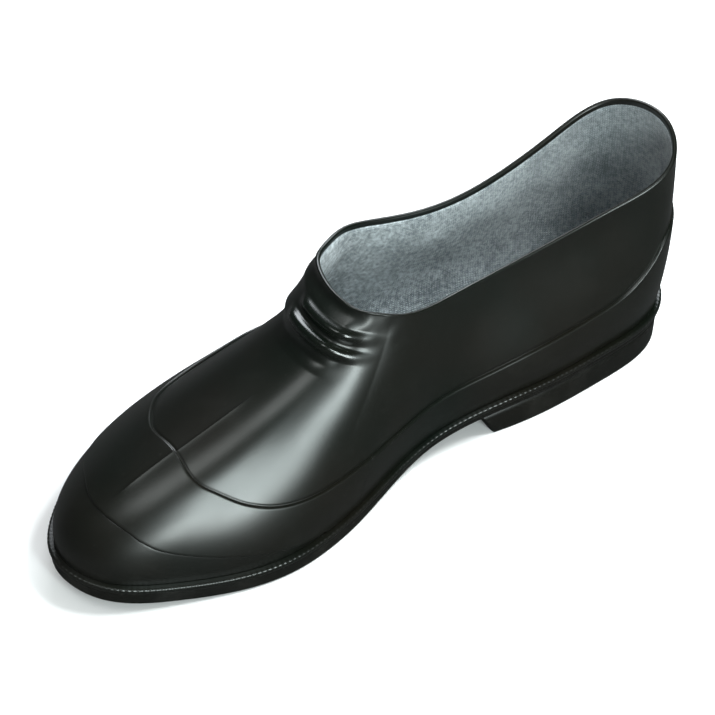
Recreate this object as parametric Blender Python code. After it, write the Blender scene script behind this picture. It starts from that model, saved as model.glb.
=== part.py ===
"""Rubber overshoe, right shoe, stood empty on its sole.

Lengths are in millimetres until a mesh is made. The toe points to -Y, the inner (medial) side
to +X, and the floor is Z = 0.
"""
from collections import namedtuple

import bmesh
import bpy
import numpy as np

MM = 0.001

# The last: one row for each spoke, from the sole's rim up to the collar, heel first, then
# round the inner side to the toe and back along the outer side.
# rise and bulge shape the wall above the sole; reach and slope shape it below the collar.
Spoke = namedtuple("Spoke", "name rim_x rim_y collar_x collar_y collar_z rise bulge reach slope")
SPOKES = (
    Spoke("heel back", 0, 152, 0, 158, 109, 31, 7, 27, 91),
    Spoke("heel back medial", 22, 142, 20, 150, 103, 30, 7, 27, 92),
    Spoke("heel medial", 33, 107, 22, 121, 92, 28, 6, 25, 90),
    Spoke("waist medial", 35, 62, 19, 80, 84, 24, 6, 22, 85),
    Spoke("arch medial", 32, 22, 20, 44, 82, 24, 7, 24, 79),
    Spoke("joint medial", 42, -16, 25, 18, 87, 27, 6, 29, 71),
    Spoke("ball medial", 54, -62, 23, 3, 92, 30, 4, 33, 66),
    Spoke("toe medial", 43, -114, 19, -4, 94, 37, 3, 40, 64),
    Spoke("tip medial", 26, -144, 13, -8, 95, 41, 2, 43, 66),
    Spoke("tip", 5, -151, 6, -10, 96, 40, 2, 45, 68),
    Spoke("tip lateral", -18, -140, -3, -10, 96, 30, 8, 41, 71),
    Spoke("toe lateral", -45, -108, -18, -6, 95, 23, 5, 41, 84),
    Spoke("ball lateral", -60, -62, -26, 4, 95, 13, 9, 46, 93),
    Spoke("joint lateral", -56, -20, -32, 18, 92, 16, 6, 34, 86),
    Spoke("waist lateral", -43, 28, -30, 42, 87, 21, 7, 29, 88),
    Spoke("heel front lateral", -36, 74, -26, 77, 88, 24, 6, 26, 89),
    Spoke("heel lateral", -34, 109, -28, 115, 96, 27, 6, 26, 89),
    Spoke("heel back lateral", -24, 141, -24, 147, 106, 30, 7, 27, 91),
)
TIP_SPOKE = 9

# Sole: the ledge is the top of its rim, level at the forefoot and at the heel.
LEDGE_FORE = 10.0
LEDGE_HEEL = 22.0
SHANK_FROM_Y = -30.0
SHANK_TO_Y = 70.0
TOE_SPRING = 8.5
SPRING_FROM_Y = -72.0
TOE_Y = -151.0
SOLE_THICK_FORE = 10.0
SOLE_THICK_HEEL = 6.5
THIN_FROM_Y = -36.0
THIN_TO_Y = 20.0
WELT_WIDTH = 3.6
EDGE_STEP_DROP = 2.4
EDGE_STEP_IN = 0.9
EDGE_TUCK = 1.6

# Heel block and tread.
BREAST_TOP_Y = 44.0
BREAST_FLOOR_Y = 50.0
HEEL_COLUMNS = 20
HEEL_NOSE = 5.0
HEEL_INSET = 1.0
HEEL_TAPER = 1.5
HEEL_EDGE = 0.8
TREAD_DEPTH = 2.4
GROOVE_WIDTH = 4.0
GROOVE_PITCH = 10.5
GROOVE_MARGIN = 13.0
GROOVE_BOW = 3.0
FORE_GROOVES = 9
FORE_GROOVE_FROM_Y = -28.0
HEEL_GROOVES = 6
HEEL_GROOVE_FROM_Y = 130.0

# Upper.
WALL = 2.0
GAP = 0.3
COLLAR_ROLL = 0.8
LEAN_LENGTH = 60.0
SQUARE_FOOT = 0.06
INSOLE_THICK = 2.0
INSOLE_CLEARANCE = 0.8
INSOLE_EDGE = 0.4
SEAT_INSET = WELT_WIDTH + WALL + INSOLE_CLEARANCE

# Moulded ribs across the instep, placed below the front of the collar.
Rib = namedtuple("Rib", "below_collar width height half_length")
RIBS = (
    Rib(12.0, 7.0, 2.4, 18.0),
    Rib(20.5, 7.0, 2.4, 20.0),
    Rib(29.0, 8.0, 0.5, 18.0),
)
RIB_END = 8.0
RIB_ASIDE = -2.0
PAD_HEIGHT = 3.0
PAD_ASIDE = 13.0
PAD_FROM = (1.0, 9.0)
PAD_TO = (23.0, 28.0)
PAD_SIDE = (22.0, 30.0)
PAD_BACK = (10.0, 30.0)
RIB_BACK_Y = 25.0
RIDGE_HEIGHT = 0.9
RIDGE_BELOW_COLLAR = (58.0, 122.0)
RIDGE_END = 8.0
RIDGE_COLUMN = 37

# Overlays on the upper. Their top lines are drawn in side view, the same on both sides:
# the foxing line runs low along the quarters, up the heel, and over the toe as the cap line.
# The toe foxing is a thinner strip below the cap's lower edge.
FOXING_THICK = 1.0
FOXING_JOINT_Y = -24.0
TOE_FOXING_THICK = 0.4
Station = namedtuple("Station", "y z")
FOXING_TOP = (
    Station(-91, 90),
    Station(-91, 62),
    Station(-93, 52),
    Station(-86, 46),
    Station(-75, 39.5),
    Station(-60, 35.5),
    Station(-35, 34.5),
    Station(10, 36.5),
    Station(45, 39),
    Station(70, 42),
    Station(95, 44),
    Station(114, 46.5),
    Station(126, 51.5),
    Station(135, 58),
    Station(145, 66),
    Station(180, 82),
)
TOE_FOXING_TOP = (
    Station(-170, 60),
    Station(-131, 41.5),
    Station(-122, 34.5),
    Station(-115, 29.5),
    Station(-100, 23.5),
    Station(-80, 18),
    Station(-62, 14),
    Station(-44, 10.5),
)

# Mesh density.
COLUMNS = 76
RIDGE_STEP = 0.0045
WALL_ROWS = 9
COLLAR_ROWS = (1.2, 4.5)
INNER_ROWS = 7
ACROSS = 5
LINE_STEPS = 3
SPOKE_SAMPLES = 61

# Reach of the cutters beyond the shoe.
CUT_SIDE = 120.0
CUT_END = 200.0
CUT_TOP = 160.0
CUT_FLOOR = -20.0
GROOVE_BELOW = 6.0

RUBBER = (0.018, 0.021, 0.018)
SOLE_RUBBER = (0.014, 0.016, 0.014)
KNIT = (0.19, 0.23, 0.24)


def clear_scene():
    for item in list(bpy.data.objects):
        bpy.data.objects.remove(item, do_unlink=True)


def material(name, colour, roughness):
    made = bpy.data.materials.new(name)
    made.use_nodes = True
    shader = made.node_tree.nodes["Principled BSDF"]
    shader.inputs["Base Color"].default_value = (*colour, 1.0)
    shader.inputs["Roughness"].default_value = roughness
    shader.inputs["Metallic"].default_value = 0.0
    return made


def ease(value, start, end):
    """Smooth step from 0 at start to 1 at end."""
    u = np.clip((np.asarray(value, float) - start) / (end - start), 0.0, 1.0)
    return u * u * (3.0 - 2.0 * u)


class ClosedSpline:
    """Smooth closed curve through rows of values, one at each knot."""

    def __init__(self, knots, length, values):
        self.knots = knots
        self.length = length
        self.values = values
        self.gaps = np.diff(np.append(knots, knots[0] + length))
        count = len(knots)
        system = np.zeros((count, count))
        right = np.zeros_like(values)
        for i in range(count):
            before = self.gaps[i - 1]
            after = self.gaps[i]
            system[i, i - 1] += before
            system[i, i] += 2.0 * (before + after)
            system[i, (i + 1) % count] += after
            rise = (values[(i + 1) % count] - values[i]) / after
            fall = (values[i] - values[i - 1]) / before
            right[i] = 6.0 * (rise - fall)
        self.bends = np.linalg.solve(system, right)

    def __call__(self, at):
        at = np.mod(at, self.length)
        i = np.clip(np.searchsorted(self.knots, at, side="right") - 1, 0, len(self.knots) - 1)
        j = (i + 1) % len(self.knots)
        gap = self.gaps[i][:, None]
        b = (at - self.knots[i])[:, None] / gap
        a = 1.0 - b
        bend = (a**3 - a) * self.bends[i] + (b**3 - b) * self.bends[j]
        return a * self.values[i] + b * self.values[j] + bend * gap**2 / 6.0


def last_spline():
    """The spoke table as one closed curve, and the run from the heel back to the tip."""
    values = np.array([spoke[1:] for spoke in SPOKES], float)
    rim = values[:, :2]
    steps = np.linalg.norm(np.diff(np.vstack([rim, rim[:1]]), axis=0), axis=1)
    knots = np.concatenate([[0.0], np.cumsum(steps)[:-1]])
    return ClosedSpline(knots, steps.sum(), values), knots[TIP_SPOKE]


LAST, TIP_RUN = last_spline()


def run_at(turn):
    """Length along the rim: turn is 0 at the heel back, 0.5 at the tip, 1 at the heel again."""
    turn = np.asarray(turn, float)
    medial = turn * 2.0 * TIP_RUN
    lateral = TIP_RUN + (turn - 0.5) * 2.0 * (LAST.length - TIP_RUN)
    return np.where(turn < 0.5, medial, lateral)


def ledge_height(y):
    """Top of the sole's rim above the floor."""
    spring = np.clip((SPRING_FROM_Y - y) / (SPRING_FROM_Y - TOE_Y), 0.0, 1.2)
    shank = ease(y, SHANK_FROM_Y, SHANK_TO_Y)
    return LEDGE_FORE + TOE_SPRING * spring**2 + (LEDGE_HEEL - LEDGE_FORE) * shank


def sole_underside(y):
    """Height of the outsole's underside, which thins from the ball to the waist."""
    thinning = (SOLE_THICK_FORE - SOLE_THICK_HEEL) * ease(y, THIN_FROM_Y, THIN_TO_Y)
    return ledge_height(y) - SOLE_THICK_FORE + thinning


def rim_frame(turn):
    """Rim points and their outward directions, seen from above."""
    run = run_at(turn)
    rim = LAST(run)[:, :2]
    along = LAST(run + 0.5)[:, :2] - LAST(run - 0.5)[:, :2]
    along /= np.linalg.norm(along, axis=1)[:, None]
    outward = np.column_stack([-along[:, 1], along[:, 0]])
    return rim, outward


def spoke_handles(turn):
    """The four points that shape each spoke of the upper."""
    rows = LAST(run_at(turn))
    rim, outward = rim_frame(turn)
    foot_xy = rim - WELT_WIDTH * outward
    foot = np.column_stack([foot_xy, ledge_height(rim[:, 1]) + GAP])
    collar = rows[:, 2:5]
    rise, bulge, reach = rows[:, 5], rows[:, 6], rows[:, 7]
    slope = np.radians(rows[:, 8])
    lower = foot + np.column_stack([outward * bulge[:, None], rise])
    spoke = collar[:, :2] - foot_xy
    length = np.linalg.norm(spoke, axis=1)
    lean = np.clip(length / LEAN_LENGTH, 0.0, 1.0)[:, None]
    inward = spoke / length[:, None] * lean - outward * (1.0 - lean)
    inward /= np.linalg.norm(inward, axis=1)[:, None]
    heading = np.column_stack([inward * np.cos(slope)[:, None], np.sin(slope)])
    upper = collar - heading * reach[:, None]
    return foot, lower, upper, collar


def surface(turn, height):
    """The plain outside of the upper; height runs from 0 at the sole to 1 at the collar."""
    foot, lower, upper, collar = (point[:, None, :] for point in spoke_handles(turn))
    h = height[:, :, None]
    g = 1.0 - h
    return g**3 * foot + 3.0 * g**2 * h * lower + 3.0 * g * h**2 * upper + h**3 * collar


def normals(turn, height):
    """Outward normals; at the sole they lie level, so that a wall meets the ledge square."""
    small = 0.002
    around = surface(turn + small, height) - surface(turn - small, height)
    lower = np.clip(height - small, 0.0, 1.0)
    upper = np.clip(height + small, 0.0, 1.0)
    up = surface(turn, upper) - surface(turn, lower)
    normal = np.cross(up, around)
    normal[:, :, 2] *= np.clip(height / SQUARE_FOOT, 0.0, 1.0)
    return normal / np.linalg.norm(normal, axis=2)[:, :, None]


def spoke_depths(turn):
    """Even heights up a spoke, and each spoke's length from the collar down to them."""
    fine = np.linspace(0.0, 1.0, SPOKE_SAMPLES)
    points = surface(turn, fine[None, :].repeat(len(turn), axis=0))
    steps = np.linalg.norm(np.diff(points, axis=1), axis=2)
    climbed = np.concatenate([np.zeros((len(turn), 1)), np.cumsum(steps, axis=1)], axis=1)
    return fine, climbed[:, -1:] - climbed


def below_collar(turn, height):
    """Length along each spoke from the collar's edge down to each height."""
    fine, depths = spoke_depths(turn)
    return np.array([np.interp(row, fine, depth) for row, depth in zip(height, depths)])


def height_below_collar(turn, wanted):
    """Heights of the points that lie the given lengths below the collar's edge."""
    fine, depths = spoke_depths(turn)
    return np.array([np.interp(wanted, depth[::-1], fine[::-1]) for depth in depths])


def instep_pad(depth, points):
    """The thick band below the collar's front, which the ribs sit on; it ends in a step."""
    front = surface(np.array([0.5]), np.array([[1.0]]))[0, 0, 0]
    aside = np.abs(points[..., 0] - front + PAD_ASIDE)
    beside = 1.0 - ease(aside, *PAD_SIDE)
    ahead = 1.0 - ease(points[..., 1], *PAD_BACK)
    band = ease(depth, *PAD_FROM) * (1.0 - ease(depth, *PAD_TO))
    return PAD_HEIGHT * band * beside * ahead


def relief(turn, height, points):
    """How far the instep ribs, their pad and the centre ridge stand out of the wall."""
    depth = below_collar(turn, height)
    front = surface(np.array([0.5]), np.array([[1.0]]))[0, 0, 0] - RIB_ASIDE
    aside = np.abs(points[:, :, 0] - front)
    toe_side = (points[:, :, 1] < RIB_BACK_Y).astype(float)
    out = instep_pad(depth, points)
    for rib in RIBS:
        across = np.clip(np.abs(depth - rib.below_collar) / (rib.width / 2.0), 0.0, 1.0)
        along = 1.0 - ease(aside, rib.half_length - RIB_END, rib.half_length)
        out += rib.height * np.cos(across * np.pi / 2.0) * along * toe_side
    start, end = RIDGE_BELOW_COLLAR
    window = ease(depth, start, start + RIDGE_END) * (1.0 - ease(depth, end - RIDGE_END, end))
    centre = (np.abs(turn - RIDGE_COLUMN / COLUMNS) < RIDGE_STEP / 2.0).astype(float)[:, None]
    return out + RIDGE_HEIGHT * window * centre


def shell(turn, height, offset, with_relief=True):
    """Points of the upper's surface, moved out along its normals."""
    points = surface(turn, height)
    raised = relief(turn, height, points) if with_relief else 0.0
    return points + normals(turn, height) * (offset + raised)[..., None]


def column_turns():
    """Places of the mesh columns, with a close pair beside the centre ridge."""
    even = np.arange(COLUMNS) / COLUMNS
    ridge = RIDGE_COLUMN / COLUMNS
    extra = np.array([ridge - RIDGE_STEP, ridge + RIDGE_STEP])
    return np.sort(np.concatenate([even, extra]))


def rib_depths():
    """Row places, measured down from the collar, that follow each rib's profile."""
    depths = set(COLLAR_ROWS)
    for rib in RIBS[:2]:
        for part in (-0.5, -0.28, 0.0, 0.28, 0.5):
            depths.add(rib.below_collar + part * rib.width)
    for part in (0.0, 0.6):
        depths.add(RIBS[2].below_collar + part * RIBS[2].width)
    return np.array(sorted(depths))


def outer_heights(turn):
    """Rows of the outside: even steps up the wall, then the rib rows, then the collar."""
    banded = height_below_collar(turn, rib_depths())[:, ::-1]
    top = banded[:, :1]
    wall = np.linspace(0.0, 1.0, WALL_ROWS + 1)[None, :-1] * top
    return np.hstack([wall, banded, np.ones((len(turn), 1))])


def ring_faces(rings, count, start=0):
    """Quads between neighbouring closed rings of vertices."""
    faces = []
    for ring in range(rings - 1):
        for i in range(count):
            j = (i + 1) % count
            low = start + ring * count
            faces.append((low + i, low + j, low + count + j, low + count + i))
    return faces


def new_object(name, points, faces, look, smooth=True):
    mesh = bpy.data.meshes.new(name)
    mesh.from_pydata([tuple(float(value) * MM for value in point) for point in points], [], faces)
    edit = bmesh.new()
    edit.from_mesh(mesh)
    bmesh.ops.recalc_face_normals(edit, faces=edit.faces)
    if edit.calc_volume(signed=True) < 0.0:
        bmesh.ops.reverse_faces(edit, faces=edit.faces)
    edit.to_mesh(mesh)
    edit.free()
    if smooth:
        mesh.shade_smooth()
        mesh.set_sharp_from_angle(angle=np.radians(40.0))
    made = bpy.data.objects.new(name, mesh)
    bpy.context.scene.collection.objects.link(made)
    if look is not None:
        mesh.materials.append(look)
    return made


def build_upper(look):
    """The hollow upper: outside, rolled collar edge, inside and the rim that meets the sole."""
    turn = column_turns()
    outer = outer_heights(turn)
    outside = shell(turn, outer, np.zeros_like(outer))
    inner = np.linspace(1.0, 0.0, INNER_ROWS + 1)[None, :].repeat(len(turn), axis=0)
    inside = shell(turn, inner, np.full_like(inner, -WALL), with_relief=False)
    inside[:, 0] -= (0.0, 0.0, COLLAR_ROLL)
    crown = shell(turn, inner[:, :1], np.full_like(inner[:, :1], -WALL / 2.0), with_relief=False)
    crown[:, :, 2] += COLLAR_ROLL
    grid = np.concatenate([outside, crown, inside], axis=1)
    rings = grid.shape[1]
    count = len(turn)
    points = grid.transpose(1, 0, 2).reshape(-1, 3)
    faces = ring_faces(rings, count)
    last = (rings - 1) * count
    for i in range(count):
        j = (i + 1) % count
        faces.append((last + i, last + j, j, i))
    return new_object("upper", points, faces, look)


def overlay_ring(name, low, high, look):
    """A closed plate all round the upper, between two offsets from its surface."""
    turn = column_turns()
    heights = outer_heights(turn)[:, : WALL_ROWS + 2]
    outer = shell(turn, heights, np.full_like(heights, high))
    inner = shell(turn, heights[:, ::-1], np.full_like(heights, low))
    grid = np.concatenate([outer, inner], axis=1)
    rings, count = grid.shape[1], len(turn)
    points = grid.transpose(1, 0, 2).reshape(-1, 3)
    faces = ring_faces(rings, count)
    last = (rings - 1) * count
    for i in range(count):
        j = (i + 1) % count
        faces.append((last + i, last + j, j, i))
    return new_object(name, points, faces, look)


def prism(name, outline, axis, low, high):
    """A cutter: an outline drawn across one axis and drawn out along it."""
    count = len(outline)
    points = []
    for level in (low, high):
        for first, second in outline:
            point = [first, second]
            point.insert(axis, level)
            points.append(point)
    faces = [tuple(range(count)), tuple(range(count, 2 * count))]
    for i in range(count):
        j = (i + 1) % count
        faces.append((i, j, count + j, count + i))
    made = new_object(name, points, faces, None, smooth=False)
    made.hide_render = True
    made.display_type = "WIRE"
    return made


def cut(target, tool, operation):
    step = target.modifiers.new(tool.name, "BOOLEAN")
    step.operation = operation
    step.solver = "EXACT"
    step.object = tool


def smooth_line(stations):
    """Points along a rounded line through a few stations."""
    marks = np.array([(station.y, station.z) for station in stations], float)
    ends = np.vstack([2.0 * marks[0] - marks[1], marks, 2.0 * marks[-1] - marks[-2]])
    line = []
    for k in range(1, len(ends) - 2):
        before, start, end, after = ends[k - 1], ends[k], ends[k + 1], ends[k + 2]
        for u in np.arange(LINE_STEPS) / LINE_STEPS:
            bend = (2.0 * before - 5.0 * start + 4.0 * end - after) * u**2
            twist = (3.0 * start - before - 3.0 * end + after) * u**3
            line.append(tuple(start + 0.5 * ((end - before) * u + bend + twist)))
    line.append(tuple(marks[-1]))
    return line


def foxing_outline():
    """Side view of everything below the foxing line and ahead of the cap line."""
    line = smooth_line(FOXING_TOP)
    return line + [(line[-1][0], CUT_FLOOR), (-CUT_END, CUT_FLOOR), (-CUT_END, line[0][1])]


def toe_foxing_outline(lift):
    """Side view of everything below the toe foxing's line, raised by a little."""
    line = [(y, z + lift) for y, z in smooth_line(TOE_FOXING_TOP)]
    return line + [(TOE_FOXING_TOP[-1].y, CUT_FLOOR), (TOE_FOXING_TOP[0].y, CUT_FLOOR)]


def joint_outline(joint, end):
    """Side view of everything on one side of the foxing's joint."""
    return [(joint, CUT_TOP), (joint, CUT_FLOOR), (end, CUT_FLOOR), (end, CUT_TOP)]


def cut_from_side(target, name, outline, operation):
    cut(target, prism(name, outline, 0, -CUT_SIDE, CUT_SIDE), operation)


def build_toe_cap(look):
    """The cap across the toe, with wings that run back to the foxing's joint."""
    cap = overlay_ring("toe_cap", GAP, GAP + FOXING_THICK, look)
    cut_from_side(cap, "cap_cutter", foxing_outline(), "INTERSECT")
    cut_from_side(cap, "cap_joint_cutter", joint_outline(FOXING_JOINT_Y, -CUT_END), "INTERSECT")
    cut_from_side(cap, "cap_foxing_cutter", toe_foxing_outline(GAP), "DIFFERENCE")
    return cap


def build_heel_counter(look):
    """The counter round the heel, with the foxing that runs forward along both sides."""
    counter = overlay_ring("heel_counter", GAP, GAP + FOXING_THICK, look)
    joint = joint_outline(FOXING_JOINT_Y + GAP, CUT_END)
    cut_from_side(counter, "counter_cutter", foxing_outline(), "INTERSECT")
    cut_from_side(counter, "counter_joint_cutter", joint, "INTERSECT")
    return counter


def build_toe_foxing(look):
    """The thin strip round the toe, between the ledge and the cap."""
    foxing = overlay_ring("toe_foxing", GAP, GAP + TOE_FOXING_THICK, look)
    cut_from_side(foxing, "toe_foxing_cutter", toe_foxing_outline(0.0), "INTERSECT")
    return foxing


def ladder(rim, top_of):
    """A surface inside a closed ring: rungs join each medial point to its lateral partner."""
    count = len(rim)
    half = count // 2
    points = [rim[0]]
    rungs = []
    for k in range(1, half):
        left = rim[k]
        right = rim[count - k]
        rung = []
        for u in np.linspace(0.0, 1.0, ACROSS + 1):
            point = left * (1.0 - u) + right * u
            if 0.0 < u < 1.0:
                point = np.array([point[0], point[1], top_of(point[1])])
            rung.append(len(points))
            points.append(point)
        rungs.append(rung)
    end = len(points)
    points.append(rim[half])
    faces = []
    for j in range(ACROSS):
        faces.append((0, rungs[0][j], rungs[0][j + 1]))
        faces.append((end, rungs[-1][j + 1], rungs[-1][j]))
    for near, far in zip(rungs[:-1], rungs[1:]):
        for j in range(ACROSS):
            faces.append((near[j], far[j], far[j + 1], near[j + 1]))
    ring = [0] + [rung[0] for rung in rungs] + [end] + [rung[-1] for rung in reversed(rungs)]
    return np.array(points), faces, ring


def sandwich(name, levels, top_of, bottom_of, look):
    """A closed plate: ladders above and below, joined by the rings between them."""
    top, top_faces, top_ring = ladder(levels[0], top_of)
    low, low_faces, low_ring = ladder(levels[-1], bottom_of)
    points = list(top) + list(low)
    faces = top_faces + [tuple(i + len(top) for i in face) for face in low_faces]
    rings = [top_ring]
    for level in levels[1:-1]:
        rings.append(list(range(len(points), len(points) + len(level))))
        points += list(level)
    rings.append([i + len(top) for i in low_ring])
    count = len(levels[0])
    for above, below in zip(rings[:-1], rings[1:]):
        for i in range(count):
            j = (i + 1) % count
            faces.append((above[i], above[j], below[j], below[i]))
    return new_object(name, points, faces, look)


def ring_at(turn, inset, heights):
    """A closed ring set in from the sole's rim."""
    rim, outward = rim_frame(turn)
    return np.column_stack([rim - outward * inset, heights])


def groove(name, y, half_width):
    """A bowed bar that cuts one tread groove."""
    sideways = np.linspace(-1.0, 1.0, 7)
    middle = (rim_x_at(y, True) + rim_x_at(y, False)) / 2.0
    bow = GROOVE_BOW * np.cos(sideways * np.pi / 2.0)
    near = list(zip(middle + sideways * half_width, y - bow))
    far = [(x, at + GROOVE_WIDTH) for x, at in reversed(near)]
    base = float(sole_underside(y - GROOVE_BOW)) if y < BREAST_TOP_Y else 0.0
    return prism(name, near + far, 2, base - GROOVE_BELOW, base + TREAD_DEPTH)


def rim_x_at(y, medial):
    """Where the sole's outline crosses a given place along the shoe."""
    turn = np.linspace(0.02, 0.48, 60) if medial else np.linspace(0.52, 0.98, 60)
    rim, _ = rim_frame(turn)
    return float(rim[np.argmin(np.abs(rim[:, 1] - y)), 0])


def cut_grooves(target, count, first_y, prefix):
    for k in range(count):
        y = first_y - k * GROOVE_PITCH
        half = (rim_x_at(y, True) - rim_x_at(y, False)) / 2.0 - GROOVE_MARGIN
        cut(target, groove(f"{prefix}_groove_cutter_{k}", y, half), "DIFFERENCE")


def build_outsole(look):
    """The sole: welt ledge, stepped edge and a tucked underside with bar tread."""
    turn = np.arange(COLUMNS) / COLUMNS
    rim, _ = rim_frame(turn)
    ledge = ledge_height(rim[:, 1])
    under = sole_underside(rim[:, 1])
    levels = [
        ring_at(turn, SEAT_INSET, ledge),
        ring_at(turn, 0.0, ledge),
        ring_at(turn, 0.0, ledge - EDGE_STEP_DROP),
        ring_at(turn, EDGE_STEP_IN, ledge - EDGE_STEP_DROP - EDGE_STEP_IN),
        ring_at(turn, EDGE_STEP_IN, under + EDGE_TUCK / 2.0),
        ring_at(turn, EDGE_STEP_IN + EDGE_TUCK, under),
    ]
    sole = sandwich("outsole", levels, ledge_height, sole_underside, look)
    cut_grooves(sole, FORE_GROOVES, FORE_GROOVE_FROM_Y, "fore")
    return sole


def heel_ring(inset, height_of):
    """The heel's plan from the sole's rim, closed ahead of the breast by a blunt nose."""
    columns = np.arange(-HEEL_COLUMNS, HEEL_COLUMNS + 1)
    rim, outward = rim_frame(np.mod(columns / COLUMNS, 1.0))
    rim = rim - outward * inset
    medial = rim[HEEL_COLUMNS:]
    lateral = rim[:HEEL_COLUMNS]
    middle = (medial[-1:] + lateral[:1]) / 2.0 - (0.0, HEEL_NOSE)
    plan = np.vstack([medial, middle, lateral])
    return np.column_stack([plan, height_of(plan[:, 1])])


def build_heel(look):
    """The heel block with its slanted breast and tread."""
    def top(y):
        return sole_underside(y) - GAP

    def floor(y):
        return np.zeros_like(y)

    def edge(y):
        return np.full_like(y, HEEL_EDGE)

    side = HEEL_INSET + EDGE_STEP_IN
    levels = [
        heel_ring(side, top),
        heel_ring(side + HEEL_TAPER, edge),
        heel_ring(side + HEEL_TAPER + HEEL_EDGE, floor),
    ]
    heel = sandwich("heel", levels, top, floor, look)
    breast = [(BREAST_TOP_Y, LEDGE_HEEL), (BREAST_FLOOR_Y, 0.0), (BREAST_FLOOR_Y, CUT_FLOOR)]
    breast += [(-CUT_END, CUT_FLOOR), (-CUT_END, LEDGE_HEEL)]
    cut_from_side(heel, "breast_cutter", breast, "DIFFERENCE")
    cut_grooves(heel, HEEL_GROOVES, HEEL_GROOVE_FROM_Y, "heel")
    return heel


def build_insole(look):
    """The thin sheet that lies on the sole inside the upper."""
    turn = np.arange(COLUMNS) / COLUMNS
    rim, _ = rim_frame(turn)
    ledge = ledge_height(rim[:, 1])

    def top(y):
        return ledge_height(y) + GAP + INSOLE_THICK

    def bottom(y):
        return ledge_height(y) + GAP

    levels = [
        ring_at(turn, SEAT_INSET + INSOLE_EDGE, ledge + GAP + INSOLE_THICK),
        ring_at(turn, SEAT_INSET, ledge + GAP + INSOLE_THICK - INSOLE_EDGE),
        ring_at(turn, SEAT_INSET, ledge + GAP),
    ]
    return sandwich("insole", levels, top, bottom, look)


def set_origin(pieces):
    """Moves everything so that the origin is the middle of the box, on the floor."""
    points = np.array([vertex.co[:] for piece in pieces for vertex in piece.data.vertices])
    middle = (points.min(axis=0) + points.max(axis=0)) / 2.0
    for item in bpy.data.objects:
        for vertex in item.data.vertices:
            vertex.co.x -= middle[0]
            vertex.co.y -= middle[1]


def main():
    clear_scene()
    rubber = material("glossy black rubber", RUBBER, 0.3)
    sole_rubber = material("black sole rubber", SOLE_RUBBER, 0.45)
    knit = material("grey knit", KNIT, 0.95)
    upper = build_upper(rubber)
    outsole = build_outsole(sole_rubber)
    build_heel(sole_rubber)
    build_insole(knit)
    build_toe_cap(rubber)
    build_toe_foxing(rubber)
    build_heel_counter(rubber)
    set_origin((upper, outsole))


main()
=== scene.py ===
"""Looks of the rubber overshoe: fine surfaces, finishes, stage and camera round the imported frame.

Shapes are worked out in millimetres in the last's own axes, toe towards -Y, inner side towards
+X, and moved onto the frame when a mesh is made.
"""
from collections import namedtuple

import bpy
import numpy as np
from mathutils import Matrix, Vector


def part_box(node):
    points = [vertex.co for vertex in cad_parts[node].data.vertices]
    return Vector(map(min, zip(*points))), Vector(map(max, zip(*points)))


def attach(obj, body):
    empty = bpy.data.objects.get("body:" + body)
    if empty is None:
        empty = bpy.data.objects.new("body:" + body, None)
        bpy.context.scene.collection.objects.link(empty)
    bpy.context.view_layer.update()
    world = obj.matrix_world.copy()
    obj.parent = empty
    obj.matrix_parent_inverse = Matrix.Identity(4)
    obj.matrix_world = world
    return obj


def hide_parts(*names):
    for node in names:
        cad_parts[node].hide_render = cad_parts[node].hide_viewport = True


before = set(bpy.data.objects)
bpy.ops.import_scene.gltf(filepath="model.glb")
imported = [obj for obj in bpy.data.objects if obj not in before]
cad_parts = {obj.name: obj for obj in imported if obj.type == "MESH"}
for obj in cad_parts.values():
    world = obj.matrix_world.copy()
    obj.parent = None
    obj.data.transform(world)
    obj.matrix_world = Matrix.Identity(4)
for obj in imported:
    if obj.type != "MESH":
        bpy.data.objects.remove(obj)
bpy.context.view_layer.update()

bl_info = {
    "name": "Rubber Overshoe",
    "version": (1, 0, 0),
    "blender": (4, 5, 0),
    "location": "View3D > Sidebar > Overshoe",
    "description": "Builds the fine surfaces and finishes of a low rubber overshoe",
    "category": "Object",
}

MM = 0.001

# The last: one row for each spoke, from the sole's rim up to the collar, heel first, then
# round the inner side to the toe and back along the outer side.
Spoke = namedtuple("Spoke", "name rim_x rim_y collar_x collar_y collar_z rise bulge reach slope")
SPOKES = (
    Spoke("heel back", 0, 152, 0, 158, 109, 31, 7, 27, 91),
    Spoke("heel back medial", 22, 142, 20, 150, 103, 30, 7, 27, 92),
    Spoke("heel medial", 33, 107, 22, 121, 92, 28, 6, 25, 90),
    Spoke("waist medial", 35, 62, 19, 80, 84, 24, 6, 22, 85),
    Spoke("arch medial", 32, 22, 20, 44, 82, 24, 7, 24, 79),
    Spoke("joint medial", 42, -16, 25, 18, 87, 27, 6, 29, 71),
    Spoke("ball medial", 54, -62, 23, 3, 92, 30, 4, 33, 66),
    Spoke("toe medial", 43, -114, 19, -4, 94, 37, 3, 40, 64),
    Spoke("tip medial", 26, -144, 13, -8, 95, 41, 2, 43, 66),
    Spoke("tip", 5, -151, 6, -10, 96, 40, 2, 45, 68),
    Spoke("tip lateral", -18, -140, -3, -10, 96, 30, 8, 41, 71),
    Spoke("toe lateral", -45, -108, -18, -6, 95, 23, 5, 41, 84),
    Spoke("ball lateral", -60, -62, -26, 4, 95, 13, 9, 46, 93),
    Spoke("joint lateral", -56, -20, -32, 18, 92, 16, 6, 34, 86),
    Spoke("waist lateral", -43, 28, -30, 42, 87, 21, 7, 29, 88),
    Spoke("heel front lateral", -36, 74, -26, 77, 88, 24, 6, 26, 89),
    Spoke("heel lateral", -34, 109, -28, 115, 96, 27, 6, 26, 89),
    Spoke("heel back lateral", -24, 141, -24, 147, 106, 30, 7, 27, 91),
)
TIP_SPOKE = 9

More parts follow.
